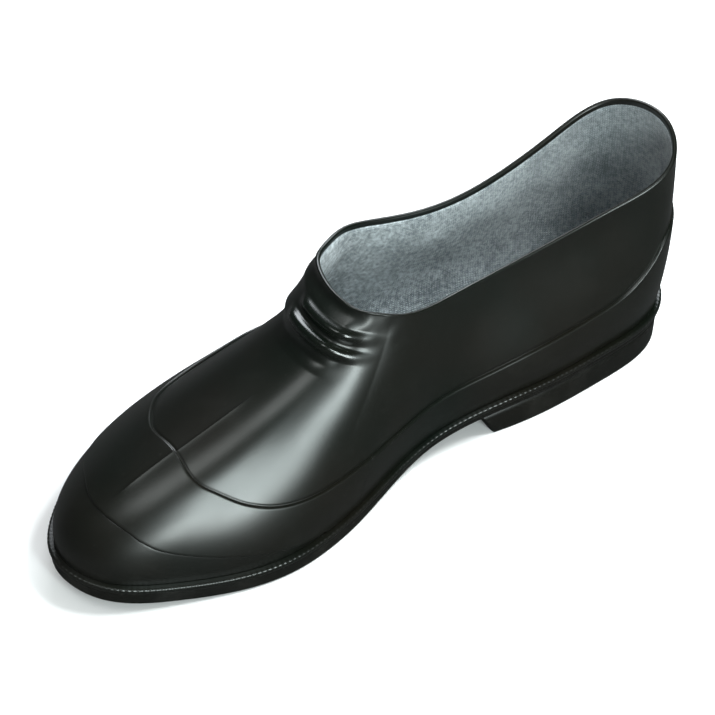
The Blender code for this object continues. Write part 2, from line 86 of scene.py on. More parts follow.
# Sole.
LEDGE_FORE = 10.0
LEDGE_HEEL = 22.0
SHANK_FROM_Y = -30.0
SHANK_TO_Y = 70.0
TOE_SPRING = 8.5
SPRING_FROM_Y = -72.0
SPRING_LIMIT = 1.2
TOE_Y = -151.0
SOLE_THICK_FORE = 10.0
SOLE_THICK_HEEL = 6.5
THIN_FROM_Y = -36.0
THIN_TO_Y = 20.0
WELT_WIDTH = 3.6
EDGE_STEP_DROP = 2.4
EDGE_STEP_IN = 0.9
EDGE_TUCK = 1.6
CAD_COLUMNS = 76

# Heel block and tread.
BREAST_TOP_Y = 44.0
BREAST_FLOOR_Y = 50.0
HEEL_INSET = 1.9
HEEL_TAPER = 1.5
HEEL_EDGE = 0.8
TREAD_DEPTH = 2.4
GROOVE_WIDTH = 4.0
GROOVE_PITCH = 10.5
GROOVE_MARGIN = 13.0
GROOVE_BOW = 3.0
GROOVE_WALL = 0.5
FORE_GROOVES = 9
FORE_GROOVE_FROM_Y = -28.0
HEEL_GROOVES = 6
HEEL_GROOVE_FROM_Y = 130.0

# Upper.
WALL = 2.0
GAP = 0.3
COLLAR_ROLL = 0.8
LEAN_LENGTH = 60.0
SQUARE_FOOT = 0.06
INSOLE_THICK = 2.0
SEAT_INSET = WELT_WIDTH + WALL + 0.8
CREASE_DEPTH = 0.25
CREASE_BELOW = 0.35
CREASE_WIDTH = 0.4

# Moulded ribs across the instep, placed below the front of the collar, on a thicker band,
# and the keel that runs on from them towards the toe.
Rib = namedtuple("Rib", "below_collar width height half_length")
RIBS = (
    Rib(12.0, 7.0, 2.4, 18.0),
    Rib(20.5, 7.0, 2.4, 20.0),
    Rib(29.0, 8.0, 0.5, 18.0),
)
RIB_END = 8.0
RIB_ASIDE = -2.0
PAD_HEIGHT = 3.0
PAD_ASIDE = 13.0
PAD_FROM = (1.0, 9.0)
PAD_TO = (23.0, 28.0)
PAD_SIDE = (22.0, 30.0)
PAD_BACK = (10.0, 30.0)
RIB_BEYOND = 1.0
RIB_BACK = (19.0, 25.0)
RIB_ZONE = 36.0
RIB_ZONE_CLEAR = 6.0
RIDGE_HEIGHT = 0.5
RIDGE_BELOW_COLLAR = (58.0, 122.0)
RIDGE_END = 8.0
RIDGE_START_EASE = 4.0
RIDGE_END_EASE = 6.0
RIDGE_FAN = (-60.0, 150.0)
RIDGE_TURN = 37.0 / 76.0
RIDGE_CREST = 1.8
RIDGE_DROP = 0.6

# Overlays: their lines are drawn in side view, the same on both sides.
FOXING_THICK = 1.0
FOXING_JOINT_Y = -24.0
TOE_FOXING_THICK = 0.4
SUNK = 0.45
EDGE_STEPS = (0.0, 0.05, 0.2, 0.4, 0.7, 1.1, 1.8)
EDGE_SHARE = 0.45
EDGE_ROUND = 1.0
BACK_STRIDE = 8
BACK_DEEPER = 0.2
STRIP_LEAST = 0.4
STRIP_UNDER = 1.2
STRIP_CLEAR = 1.0
TUCK_RUN = 0.004
TUCK_DEPTH = 0.3
Station = namedtuple("Station", "y z")
FOXING_TOP = (
    Station(-91, 90),
    Station(-91, 62),
    Station(-93, 52),
    Station(-86, 46),
    Station(-75, 39.5),
    Station(-60, 35.5),
    Station(-35, 34.5),
    Station(10, 36.5),
    Station(45, 39),
    Station(70, 42),
    Station(95, 44),
    Station(114, 46.5),
    Station(126, 51.5),
    Station(135, 58),
    Station(145, 66),
    Station(180, 82),
)
TOE_FOXING_TOP = (
    Station(-170, 60),
    Station(-131, 41.5),
    Station(-122, 34.5),
    Station(-115, 29.5),
    Station(-100, 23.5),
    Station(-80, 18),
    Station(-62, 14),
    Station(-44, 10.5),
)
LINE_STEPS = 8
OUTLINE_FAR = 400.0
HALVINGS = 14

# Welt ledge: rounded, with flutes as moulded stitching.
WELT_ROUND = 0.9
FLUTE_PITCH = 2.4
FLUTE_DEPTH = 0.14
FLUTE_SLANT = 0.7

# Outsole and heel block below the ledge.
SEAT_OVERLAP = 0.2
SEAT_DROP = 0.05
SHOULDER_DROP = 1.2
LOWER_ROUND = 1.9
HEEL_OVERLAP = 0.1

# Lining and insole.
LINING_THICK = 0.6
LINING_DROP = 1.6
LINING_ROUND = 1.2
LINING_SINK = 0.15
LINING_BACK = 0.2
INSOLE_ROUND = 1.0

# Slight unevenness: how high, how long its waves are, and the seed of its waves.
Unevenness = namedtuple("Unevenness", "height length seed")
WALL_WAVES = Unevenness(0.07, 38.0, 3)
PUCKERS = Unevenness(0.12, 9.0, 8)
LINING_FOLDS = Unevenness(0.25, 16.0, 21)
LINING_CRUMPLE = Unevenness(0.12, 6.0, 22)
INSOLE_WAVES = Unevenness(0.15, 22.0, 31)
WAVE_COUNT = 7
WAVE_LENGTHS = (0.7, 1.5)
WAVE_DIVISOR = 3.0
PUCKER_DEPTH = (9.0, 16.0)
PUCKER_BACK = (0.0, 24.0)

# Finishes.
Rubber = namedtuple("Rubber", "name specular spread coat dust grain bump")
UPPER_RUBBER = Rubber("glossy upper rubber", 0.75, 0.04, 0.3, 0.03, 1400.0, 0.05)
FOXING_RUBBER = Rubber("foxing rubber", 0.75, 0.04, 0.3, 0.04, 1200.0, 0.07)
SOLE_RUBBER = Rubber("satin sole rubber", 0.5, 0.08, 0.1, 0.12, 800.0, 0.15)
FOXING_ROUGHER = 0.01
SOLE_ROUGHNESS = 0.42
COAT_ROUGHNESS = 0.26
RUBBER_BUMP_HEIGHT = 0.0002
PORE_SCALE = 240.0
GLOSS_SCALE = 26.0
TINT_SCALE = 14.0
DUST_COLOUR = (0.14, 0.135, 0.12)
DUST_DULLS = 0.35
DUST_PATCH_SCALE = 45.0
DUST_SPECK_SCALE = 620.0
POLISH = 0.16
KNIT_ROUGHNESS = 0.95
KNIT_SHEEN = 0.25
KNIT_BUMP = 0.7
KNIT_BUMP_HEIGHT = 0.0005
KNIT_CLOUD_SCALE = 55.0
KNIT_FLECK_SCALE = 520.0
Stitch = namedtuple("Stitch", "wale course")
LINING_STITCH = Stitch(1.25, 1.0)
INSOLE_STITCH = Stitch(1.4, 1.2)
# Painted shade inside the shoe: the knit is painted darker towards the heel, by this share at most, towards
# this fraction of its darker tone, between these places along the shoe.
HEEL_PAINTED_SHADE = 0.62
HEEL_PAINTED_SHADE_TONE = 0.4
HEEL_PAINTED_SHADE_FROM_Y = 20.0
HEEL_PAINTED_SHADE_TO_Y = 125.0

# Mesh density.
COLUMNS = 420
RIDGE_COLUMNS = 14
RIDGE_SPREAD = 0.007
RIDGE_CROWDING = 1.5
SPOKE_SAMPLES = 121
UNDER_ROWS = 4
LINE_BELOW = 2.0
LINE_ABOVE = 2.2
LINE_ROWS = 15
WALL_ROWS = 62
RIB_ROWS = 58
COLLAR_STEPS = 8
INNER_ROWS = 12
LINING_ROWS = 64
LINING_BACK_ROWS = 9
OVERLAY_ROWS = 40
JOINT_SAMPLES = 2001
WELT_COLUMNS = 1800
SOLE_COLUMNS = 600
ACROSS = 40
ACROSS_HIDDEN = 6
HEEL_SIDE = 220
HEEL_BREAST = 40
HEEL_RUN_SAMPLES = 1500
CORNER_REACH = 2


def ease(value, start, end):
    """Smooth step from 0 at start to 1 at end."""
    u = np.clip((np.asarray(value, float) - start) / (end - start), 0.0, 1.0)
    return u * u * (3.0 - 2.0 * u)


class ClosedSpline:
    """Smooth closed curve through rows of values, one at each knot."""

    def __init__(self, knots, length, values):
        self.knots = knots
        self.length = length
        self.values = values
        self.gaps = np.diff(np.append(knots, knots[0] + length))
        count = len(knots)
        system = np.zeros((count, count))
        right = np.zeros_like(values)
        for i in range(count):
            before = self.gaps[i - 1]
            after = self.gaps[i]
            system[i, i - 1] += before
            system[i, i] += 2.0 * (before + after)
            system[i, (i + 1) % count] += after
            rise = (values[(i + 1) % count] - values[i]) / after
            fall = (values[i] - values[i - 1]) / before
            right[i] = 6.0 * (rise - fall)
        self.bends = np.linalg.solve(system, right)

    def __call__(self, at):
        at = np.mod(at, self.length)
        i = np.clip(np.searchsorted(self.knots, at, side="right") - 1, 0, len(self.knots) - 1)
        j = (i + 1) % len(self.knots)
        gap = self.gaps[i][:, None]
        b = (at - self.knots[i])[:, None] / gap
        a = 1.0 - b
        bend = (a**3 - a) * self.bends[i] + (b**3 - b) * self.bends[j]
        return a * self.values[i] + b * self.values[j] + bend * gap**2 / 6.0


def last_spline():
    """The spoke table as one closed curve, and the run from the heel back to the tip."""
    values = np.array([spoke[1:] for spoke in SPOKES], float)
    rim = values[:, :2]
    steps = np.linalg.norm(np.diff(np.vstack([rim, rim[:1]]), axis=0), axis=1)
    knots = np.concatenate([[0.0], np.cumsum(steps)[:-1]])
    return ClosedSpline(knots, steps.sum(), values), knots[TIP_SPOKE]


LAST, TIP_RUN = last_spline()


def run_at(turn):
    """Length along the rim: turn is 0 at the heel back, 0.5 at the tip, 1 at the heel again."""
    turn = np.asarray(turn, float)
    medial = turn * 2.0 * TIP_RUN
    lateral = TIP_RUN + (turn - 0.5) * 2.0 * (LAST.length - TIP_RUN)
    return np.where(turn < 0.5, medial, lateral)


def ledge_height(y):
    """Top of the sole's rim above the floor."""
    spring = np.clip((SPRING_FROM_Y - y) / (SPRING_FROM_Y - TOE_Y), 0.0, SPRING_LIMIT)
    shank = ease(y, SHANK_FROM_Y, SHANK_TO_Y)
    return LEDGE_FORE + TOE_SPRING * spring**2 + (LEDGE_HEEL - LEDGE_FORE) * shank


def sole_underside(y):
    """Height of the outsole's underside, which thins from the ball to the waist."""
    thinning = (SOLE_THICK_FORE - SOLE_THICK_HEEL) * ease(y, THIN_FROM_Y, THIN_TO_Y)
    return ledge_height(y) - SOLE_THICK_FORE + thinning


def rim_frame(turn):
    """Rim points and their outward directions, seen from above."""
    run = run_at(turn)
    rim = LAST(run)[:, :2]
    along = LAST(run + 0.5)[:, :2] - LAST(run - 0.5)[:, :2]
    along /= np.linalg.norm(along, axis=1)[:, None]
    outward = np.column_stack([-along[:, 1], along[:, 0]])
    return rim, outward


def spoke_handles(turn):
    """The four points that shape each spoke of the upper."""
    rows = LAST(run_at(turn))
    rim, outward = rim_frame(turn)
    foot_xy = rim - WELT_WIDTH * outward
    foot = np.column_stack([foot_xy, ledge_height(rim[:, 1]) + GAP])
    collar = rows[:, 2:5]
    rise, bulge, reach = rows[:, 5], rows[:, 6], rows[:, 7]
    slope = np.radians(rows[:, 8])
    lower = foot + np.column_stack([outward * bulge[:, None], rise])
    spoke = collar[:, :2] - foot_xy
    length = np.linalg.norm(spoke, axis=1)
    lean = np.clip(length / LEAN_LENGTH, 0.0, 1.0)[:, None]
    inward = spoke / length[:, None] * lean - outward * (1.0 - lean)
    inward /= np.linalg.norm(inward, axis=1)[:, None]
    heading = np.column_stack([inward * np.cos(slope)[:, None], np.sin(slope)])
    upper = collar - heading * reach[:, None]
    return foot, lower, upper, collar


def surface(turn, height):
    """The plain outside of the upper; height runs from 0 at the sole to 1 at the collar."""
    foot, lower, upper, collar = (point[:, None, :] for point in spoke_handles(turn))
    h = height[:, :, None]
    g = 1.0 - h
    return g**3 * foot + 3.0 * g**2 * h * lower + 3.0 * g * h**2 * upper + h**3 * collar


def normals(turn, height):
    """Outward normals; at the sole they lie level, so that a wall meets the ledge square."""
    small = 0.002
    around = surface(turn + small, height) - surface(turn - small, height)
    lower = np.clip(height - small, 0.0, 1.0)
    upper = np.clip(height + small, 0.0, 1.0)
    up = surface(turn, upper) - surface(turn, lower)
    normal = np.cross(up, around)
    normal[:, :, 2] *= np.clip(height / SQUARE_FOOT, 0.0, 1.0)
    return normal / np.linalg.norm(normal, axis=2)[:, :, None]


def spoke_depths(turn):
    """Even heights up a spoke, and each spoke's length from the collar down to them."""
    fine = np.linspace(0.0, 1.0, SPOKE_SAMPLES)
    points = surface(turn, fine[None, :].repeat(len(turn), axis=0))
    steps = np.linalg.norm(np.diff(points, axis=1), axis=2)
    climbed = np.concatenate([np.zeros((len(turn), 1)), np.cumsum(steps, axis=1)], axis=1)
    return fine, climbed[:, -1:] - climbed


def below_collar(turn, height):
    """Length along each spoke from the collar's edge down to each height."""
    fine, depths = spoke_depths(turn)
    return np.array([np.interp(row, fine, depth) for row, depth in zip(height, depths)])


def height_at_depth(turn, wanted):
    """Heights of the points that lie the given lengths below the collar's edge."""
    fine, depths = spoke_depths(turn)
    wanted = np.broadcast_to(wanted, (len(turn), np.shape(wanted)[-1]))
    return np.array([np.interp(row, depth[::-1], fine[::-1]) for row, depth in zip(wanted, depths)])


def smooth_line(stations):
    """Points along a rounded line through a few stations."""
    marks = np.array([(station.y, station.z) for station in stations], float)
    ends = np.vstack([2.0 * marks[0] - marks[1], marks, 2.0 * marks[-1] - marks[-2]])
    line = []
    for k in range(1, len(ends) - 2):
        before, start, end, after = ends[k - 1], ends[k], ends[k + 1], ends[k + 2]
        for u in np.arange(LINE_STEPS) / LINE_STEPS:
            bend = (2.0 * before - 5.0 * start + 4.0 * end - after) * u**2
            twist = (3.0 * start - before - 3.0 * end + after) * u**3
            line.append(start + 0.5 * ((end - before) * u + bend + twist))
    line.append(marks[-1])
    return np.array(line)


def inside_outline(points, outline):
    """Whether each point's side view lies inside a closed outline."""
    y = points[..., 1]
    z = points[..., 2]
    inside = np.zeros(y.shape, bool)
    for (y0, z0), (y1, z1) in zip(outline, np.roll(outline, -1, axis=0)):
        spans = (z0 > z) != (z1 > z)
        slope = (y1 - y0) / (z1 - z0) if z1 != z0 else 0.0
        inside ^= spans & (y < y0 + (z - z0) * slope)
    return inside


def foxing_outline():
    """Side view of everything below the foxing line and ahead of the cap line."""
    line = smooth_line(FOXING_TOP)
    below = [(line[-1, 0], -OUTLINE_FAR), (-OUTLINE_FAR, -OUTLINE_FAR)]
    far = np.array(below + [(-OUTLINE_FAR, line[0, 1])])
    return np.vstack([line, far])


def toe_foxing_outline():
    """Side view of everything below the toe foxing's line."""
    line = smooth_line(TOE_FOXING_TOP)
    far = np.array([(line[-1, 0], -OUTLINE_FAR), (line[0, 0], -OUTLINE_FAR)])
    return np.vstack([line, far])


def crossing_depth(turn, outline):
    """Length below the collar at which each spoke leaves the outline on its way up."""
    fine, depths = spoke_depths(turn)
    points = surface(turn, fine[None, :].repeat(len(turn), axis=0))
    inside = inside_outline(points, outline)
    result = depths[:, 0].copy()
    for i in range(len(turn)):
        leaving = np.flatnonzero(inside[i, :-1] & ~inside[i, 1:])
        if not inside[i, :3].any() or len(leaving) == 0:
            continue
        low = fine[leaving[0]]
        high = fine[leaving[0] + 1]
        for _ in range(HALVINGS):
            middle = (low + high) / 2.0
            point = surface(turn[i:i + 1], np.array([[middle]]))
            if inside_outline(point, outline)[0, 0]:
                low = middle
            else:
                high = middle
        result[i] = np.interp((low + high) / 2.0, fine, depths[i])
    return result


def soft_noise(points, scale, seed):
    """Smooth uneven surface between -1 and 1, from a few crossed waves."""
    rng = np.random.default_rng(seed)
    total = np.zeros(points.shape[:-1])
    for _ in range(WAVE_COUNT):
        direction = rng.normal(size=3)
        direction /= np.linalg.norm(direction)
        length = scale * rng.uniform(*WAVE_LENGTHS)
        total += np.sin(points @ direction * 2.0 * np.pi / length + rng.uniform(0.0, 2.0 * np.pi))
    return total / WAVE_DIVISOR


def unevenness(points, kind):
    """Height of one kind of slight unevenness at each point."""
    return kind.height * soft_noise(points, kind.length, kind.seed)


def front_of_collar():
    """Where the collar's front lies across the shoe."""
    return surface(np.array([0.5]), np.array([[1.0]]))[0, 0, 0]


def instep_pad(depth, points):
    """The thick band below the collar's front, which the ribs sit on; it ends in a step."""
    aside = np.abs(points[..., 0] - front_of_collar() + PAD_ASIDE)
    beside = 1.0 - ease(aside, *PAD_SIDE)
    ahead = 1.0 - ease(points[..., 1], *PAD_BACK)
    band = ease(depth, *PAD_FROM) * (1.0 - ease(depth, *PAD_TO))
    return PAD_HEIGHT * band * beside * ahead


def rib_shape(depth, points):
    """How far the instep ribs alone stand out, with rounded crests and tapered ends."""
    aside = np.abs(points[..., 0] - (front_of_collar() - RIB_ASIDE))
    toe_side = 1.0 - ease(points[..., 1], *RIB_BACK)
    out = np.zeros(depth.shape)
    for rib in RIBS:
        along = 1.0 - ease(aside, rib.half_length - RIB_END, rib.half_length + RIB_BEYOND)
        across = np.clip(np.abs(depth - rib.below_collar) / (rib.width / 2.0), 0.0, 1.0)
        out += rib.height * np.cos(across * np.pi / 2.0) * along * toe_side
    return out


def ridge_relief(turn, depth):
    """The keel down the vamp: it swells from the inner side and drops off on the outer side."""
    start, end = RIDGE_BELOW_COLLAR
    begins = ease(depth, start - RIDGE_START_EASE, start + RIDGE_END)
    window = begins * (1.0 - ease(depth, end - RIDGE_END, end + RIDGE_END_EASE))
    width = 2.0 * (LAST.length - TIP_RUN) * ease(depth, *RIDGE_FAN)
    aside = (RIDGE_TURN - turn)[:, None] * width
    crest = np.where(aside > 0.0, np.exp(-aside / RIDGE_CREST), np.exp(aside / RIDGE_DROP))
    return RIDGE_HEIGHT * window * crest


def relief(turn, height, points):
    """The upper's modelled detail and its slight unevenness, in millimetres."""
    depth = below_collar(turn, height)
    near_ribs = (1.0 - ease(depth, *PUCKER_DEPTH)) * (1.0 - ease(points[..., 1], *PUCKER_BACK))
    puckers = unevenness(points, PUCKERS) * near_ribs
    ribs = rib_shape(depth, points) + instep_pad(depth, points)
    return ribs + ridge_relief(turn, depth) + unevenness(points, WALL_WAVES) + puckers


def shell(turn, height, offset, with_relief=True):
    """Points of the upper's surface, moved out along its normals."""
    points = surface(turn, height)
    raised = relief(turn, height, points) if with_relief else 0.0
    return points + normals(turn, height) * (offset + raised)[..., None]


def column_turns():
    """Places of the fine mesh columns, closer together beside the keel."""
    even = np.arange(COLUMNS) / COLUMNS
    away = np.abs(even - RIDGE_TURN) > RIDGE_SPREAD
    spread = np.linspace(-1.0, 1.0, RIDGE_COLUMNS)
    near = RIDGE_TURN + RIDGE_SPREAD * np.sign(spread) * np.abs(spread) ** RIDGE_CROWDING
    return np.sort(np.concatenate([even[away], near]))


def frame_shift():
    """What moves the last's axes onto the frame's, read from the outsole's box."""
    rim, _ = rim_frame(np.arange(CAD_COLUMNS) / CAD_COLUMNS)
    low = np.array(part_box("outsole")[0][:2]) / MM
    return np.append(low - rim.min(axis=0), 0.0)


SHIFT = frame_shift()


def ring_faces(rings, count, closed):
    """Quads between neighbouring closed rings; when closed, the last ring joins the first."""
    i = np.arange(count)
    j = (i + 1) % count
    ring = np.arange(rings if closed else rings - 1)[:, None]
    low = ring * count
    high = (ring + 1) % rings * count
    return np.stack([low + i, low + j, high + j, high + i], axis=-1).reshape(-1, 4)


def closed_grid(grid):
    """Vertices and faces of a tube of rings whose last ring joins the first."""
    count, rings = grid.shape[:2]
    return grid.transpose(1, 0, 2).reshape(-1, 3), ring_faces(rings, count, True)


def capped_strip(grid):
    """A strip of closed cross-sections, capped at its two ends."""
    count, rings = grid.shape[:2]
    faces = [tuple(face) for face in ring_faces(count, rings, False)]
    caps = [tuple(range(rings)), tuple(range((count - 1) * rings, count * rings))]
    return grid.reshape(-1, 3), faces + caps


def add_piece(name, points, faces, look, nodes, uv=None, polish=None):
    """Makes a mesh from millimetres, puts it on the frame and hides the imported parts that it replaces."""
    mesh = bpy.data.meshes.new(name)
    placed = (np.asarray(points) + SHIFT) * MM
    mesh.from_pydata(placed.tolist(), [], [tuple(face) for face in faces])
    if uv is not None:
        layer = mesh.uv_layers.new(name="surface")
        layer.data.foreach_set("uv", np.asarray(uv, np.float32).ravel())
    mesh.validate()
    mesh.update()
    mesh.shade_smooth()
    if polish is not None:
        mesh.attributes.new("polish", "FLOAT", "POINT").data.foreach_set("value", np.ravel(polish))
    made = bpy.data.objects.new(name, mesh)
    bpy.context.scene.collection.objects.link(made)
    point_outwards(made)
    mesh.materials.append(look)
    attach(made, "root")
    if nodes:
        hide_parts(*nodes)
    return made


def point_outwards(made):
    """Turns a closed mesh's faces outwards if they point in."""
    mesh = made.data
    mesh.calc_loop_triangles()
    co = np.empty(len(mesh.vertices) * 3)
    mesh.vertices.foreach_get("co", co)
    co = co.reshape(-1, 3)
    tri = np.empty(len(mesh.loop_triangles) * 3, int)
    mesh.loop_triangles.foreach_get("vertices", tri)
    a, b, c = (co[tri.reshape(-1, 3)[:, k]] for k in range(3))
    if np.einsum("ij,ij->", a, np.cross(b, c)) < 0.0:
        mesh.flip_normals()


def surface_uv(turn, grid):
    """Surface coordinates in millimetres for each corner of a closed grid: run, then climb."""
    count, rings = grid.shape[:2]
    run = np.append(run_at(turn), LAST.length)
    steps = np.linalg.norm(np.diff(grid, axis=1), axis=2)
    climb = np.concatenate([np.zeros((count, 1)), np.cumsum(steps, axis=1)], axis=1)
    i = np.arange(count)
    j = (i + 1) % count
    corners = []
    for ring in range(rings):
        after = min(ring + 1, rings - 1)
        u = np.stack([run[i], run[i + 1], run[i + 1], run[i]], axis=-1)
        v = np.stack([climb[i, ring], climb[j, ring], climb[j, after], climb[i, after]], axis=-1)
        corners.append(np.stack([u, v], axis=-1))
    return np.concatenate(corners).reshape(-1, 2)


# Shader groups.

def new_group(name, inputs, outputs):
    """An empty shader group with float or colour sockets; returns it with its end nodes."""
    group = bpy.data.node_groups.new(name, "ShaderNodeTree")
    for label, kind, value in inputs:
        socket = group.interface.new_socket(name=label, in_out="INPUT", socket_type=kind)
        if value is not None:
            socket.default_value = value
    for label, kind in outputs:
        group.interface.new_socket(name=label, in_out="OUTPUT", socket_type=kind)
    start = group.nodes.new("NodeGroupInput")
    end = group.nodes.new("NodeGroupOutput")
    return group, start, end


def math_node(tree, operation, first, second=None):
    """A math node whose inputs are sockets or numbers; returns its output."""
    node = tree.nodes.new("ShaderNodeMath")
    node.operation = operation
    for socket, value in zip(node.inputs, (first, second)):
        if value is None:
            continue
        if isinstance(value, (int, float)):
            socket.default_value = value
        else:
            tree.links.new(value, socket)
    return node.outputs[0]


def weighted_sum(tree, first, second, weight):
    """The first value plus the second times a weight."""
    return math_node(tree, "ADD", first, math_node(tree, "MULTIPLY", second, weight))


def noise_node(tree, coordinates, scale, detail=3.0, rough=0.5):
    """A noise texture's value at the given coordinates."""
    node = tree.nodes.new("ShaderNodeTexNoise")
    node.inputs["Detail"].default_value = detail
    node.inputs["Roughness"].default_value = rough
    tree.links.new(coordinates, node.inputs["Vector"])
    if isinstance(scale, (int, float)):
        node.inputs["Scale"].default_value = scale
    else:
        tree.links.new(scale, node.inputs["Scale"])
    return node.outputs["Fac"]


def range_node(tree, value, low, high, to_low=0.0, to_high=1.0):
    """Maps a value from one range to another and clamps it."""
    node = tree.nodes.new("ShaderNodeMapRange")
    tree.links.new(value, node.inputs["Value"])
    for label, number in zip(("From Min", "From Max", "To Min", "To Max"), (low, high, to_low, to_high)):
        node.inputs[label].default_value = number
    return node.outputs["Result"]


def mix_colour(tree, factor, first, second):
    """Mixes two colours, given as tuples or sockets."""
    node = tree.nodes.new("ShaderNodeMix")
    node.data_type = "RGBA"
    if isinstance(factor, (int, float)):
        node.inputs[0].default_value = factor
    else:
        tree.links.new(factor, node.inputs[0])
    for socket, value in zip((node.inputs[6], node.inputs[7]), (first, second)):
        if isinstance(value, tuple):
            socket.default_value = (*value, 1.0)
        else:
            tree.links.new(value, socket)
    return node.outputs[2]


def rubber_surface_group():
    """Moulded rubber: a fine grain with pores, slow gloss changes and a slowly changing tint."""
    inputs = (("Position", "NodeSocketVector", None), ("Grain size", "NodeSocketFloat", 900.0))
    outputs = tuple((label, "NodeSocketFloat") for label in ("Height", "Gloss change", "Tint"))
    group, start, end = new_group("rubber surface", inputs, outputs)
    place = start.outputs["Position"]
    grain = noise_node(group, place, start.outputs["Grain size"], 2.0, 0.6)
    pores = noise_node(group, place, PORE_SCALE, 2.0, 0.5)
    cloudy = noise_node(group, place, GLOSS_SCALE, 3.0, 0.55)
    tint = noise_node(group, place, TINT_SCALE, 2.0, 0.5)
    group.links.new(weighted_sum(group, grain, pores, 0.8), end.inputs["Height"])
    group.links.new(range_node(group, cloudy, 0.3, 0.7, -1.0, 1.0), end.inputs["Gloss change"])
    group.links.new(range_node(group, tint, 0.35, 0.65), end.inputs["Tint"])
    return group


def dust_group():
    """Pale dust in patches and fine specks; gives a mask."""
    inputs = (("Position", "NodeSocketVector", None), ("Amount", "NodeSocketFloat", 0.3))
    group, start, end = new_group("settled dust", inputs, (("Mask", "NodeSocketFloat"),))
    place = start.outputs["Position"]
    patches = range_node(group, noise_node(group, place, DUST_PATCH_SCALE, 5.0, 0.65), 0.52, 0.78)
    specks = range_node(group, noise_node(group, place, DUST_SPECK_SCALE, 1.0, 0.5), 0.70, 0.78)
    both = math_node(group, "MAXIMUM", math_node(group, "MULTIPLY", patches, 0.55), specks)
    group.links.new(math_node(group, "MULTIPLY", both, start.outputs["Amount"]), end.inputs["Mask"])
    return group


def knit_group():
    """Jersey knit: rows of small V stitches, as a height and a tone."""
    inputs = (
        ("Surface", "NodeSocketVector", None),
        ("Wale", "NodeSocketFloat", 1.25),
        ("Course", "NodeSocketFloat", 1.0),
    )
    outputs = (("Height", "NodeSocketFloat"), ("Tone", "NodeSocketFloat"))
    group, start, end = new_group("jersey knit", inputs, outputs)
    split = group.nodes.new("ShaderNodeSeparateXYZ")
    group.links.new(start.outputs["Surface"], split.inputs[0])
    wobble = noise_node(group, start.outputs["Surface"], 0.16, 2.0, 0.5)
    shifted = weighted_sum(group, split.outputs["X"], wobble, 1.6)
    across = math_node(group, "MULTIPLY", math_node(group, "DIVIDE", shifted, start.outputs["Wale"]), np.pi)
    leg = math_node(group, "ABSOLUTE", math_node(group, "SINE", across))
    along = math_node(group, "DIVIDE", split.outputs["Y"], start.outputs["Course"])
    slanted = weighted_sum(group, along, leg, 0.55)
    course = math_node(group, "SINE", math_node(group, "MULTIPLY", slanted, 2.0 * np.pi))
    course = range_node(group, course, -1.0, 1.0)
    height = math_node(group, "MULTIPLY", math_node(group, "POWER", leg, 0.6), course)
    fuzz = noise_node(group, start.outputs["Surface"], 3.5, 2.0, 0.6)
    group.links.new(weighted_sum(group, height, fuzz, 0.9), end.inputs["Height"])
    tone = weighted_sum(group, math_node(group, "MULTIPLY", height, 0.35), fuzz, 0.8)
    group.links.new(tone, end.inputs["Tone"])
    return group


def place_group(tree, group, links, values=()):
    """Puts a group in a material, links its inputs and sets its own values."""
    node = tree.nodes.new("ShaderNodeGroup")
    node.node_tree = group
    for label, socket in links:
        tree.links.new(socket, node.inputs[label])
    for label, value in values:
        node.inputs[label].default_value = value
    return node


def start_material(name, roughness, coat=0.0, coat_roughness=0.1, sheen=0.0):
    """A material with its Principled shader's constants set; returns it, its tree and shader."""
    look = bpy.data.materials.new(name)
    look.use_nodes = True
    tree = look.node_tree
    shader = tree.nodes["Principled BSDF"]
    shader.inputs["Roughness"].default_value = roughness
    shader.inputs["Metallic"].default_value = 0.0
    shader.inputs["Coat Weight"].default_value = coat
    shader.inputs["Coat Roughness"].default_value = coat_roughness
    shader.inputs["Sheen Weight"].default_value = sheen
    return look, tree, shader


def object_position(tree):
    """Object coordinates, in metres."""
    return tree.nodes.new("ShaderNodeTexCoord").outputs["Object"]


def add_bump(tree, shader, height, strength, distance):
    """Feeds a height into the shader's normal."""
    bump = tree.nodes.new("ShaderNodeBump")
    bump.inputs["Strength"].default_value = strength
    bump.inputs["Distance"].default_value = distance
    tree.links.new(height, bump.inputs["Height"])
    tree.links.new(bump.outputs["Normal"], shader.inputs["Normal"])


def rubber_material(rubber, dark, warm, roughness):
    """Black rubber: a slightly uneven colour and gloss, a fine grain and a little dust."""
    look, tree, shader = start_material(rubber.name, roughness, rubber.coat, COAT_ROUGHNESS)
    shader.inputs["Specular IOR Level"].default_value = rubber.specular
    place = object_position(tree)
    at = [("Position", place)]
    skin = place_group(tree, SHADER_GROUPS["rubber surface"], at, [("Grain size", rubber.grain)])
    film = place_group(tree, SHADER_GROUPS["settled dust"], at, [("Amount", rubber.dust)])
    tinted = mix_colour(tree, skin.outputs["Tint"], dark, warm)
    colour = mix_colour(tree, film.outputs["Mask"], tinted, DUST_COLOUR)
    tree.links.new(colour, shader.inputs["Base Color"])
    gloss = math_node(tree, "MULTIPLY", skin.outputs["Gloss change"], rubber.spread)
    rough = math_node(tree, "ADD", gloss, roughness)
    worn = tree.nodes.new("ShaderNodeAttribute")
    worn.attribute_name = "polish"
    rough = weighted_sum(tree, rough, worn.outputs["Fac"], -POLISH)
    rough = weighted_sum(tree, rough, film.outputs["Mask"], DUST_DULLS)
    tree.links.new(rough, shader.inputs["Roughness"])
    add_bump(tree, shader, skin.outputs["Height"], rubber.bump, RUBBER_BUMP_HEIGHT)
    return look


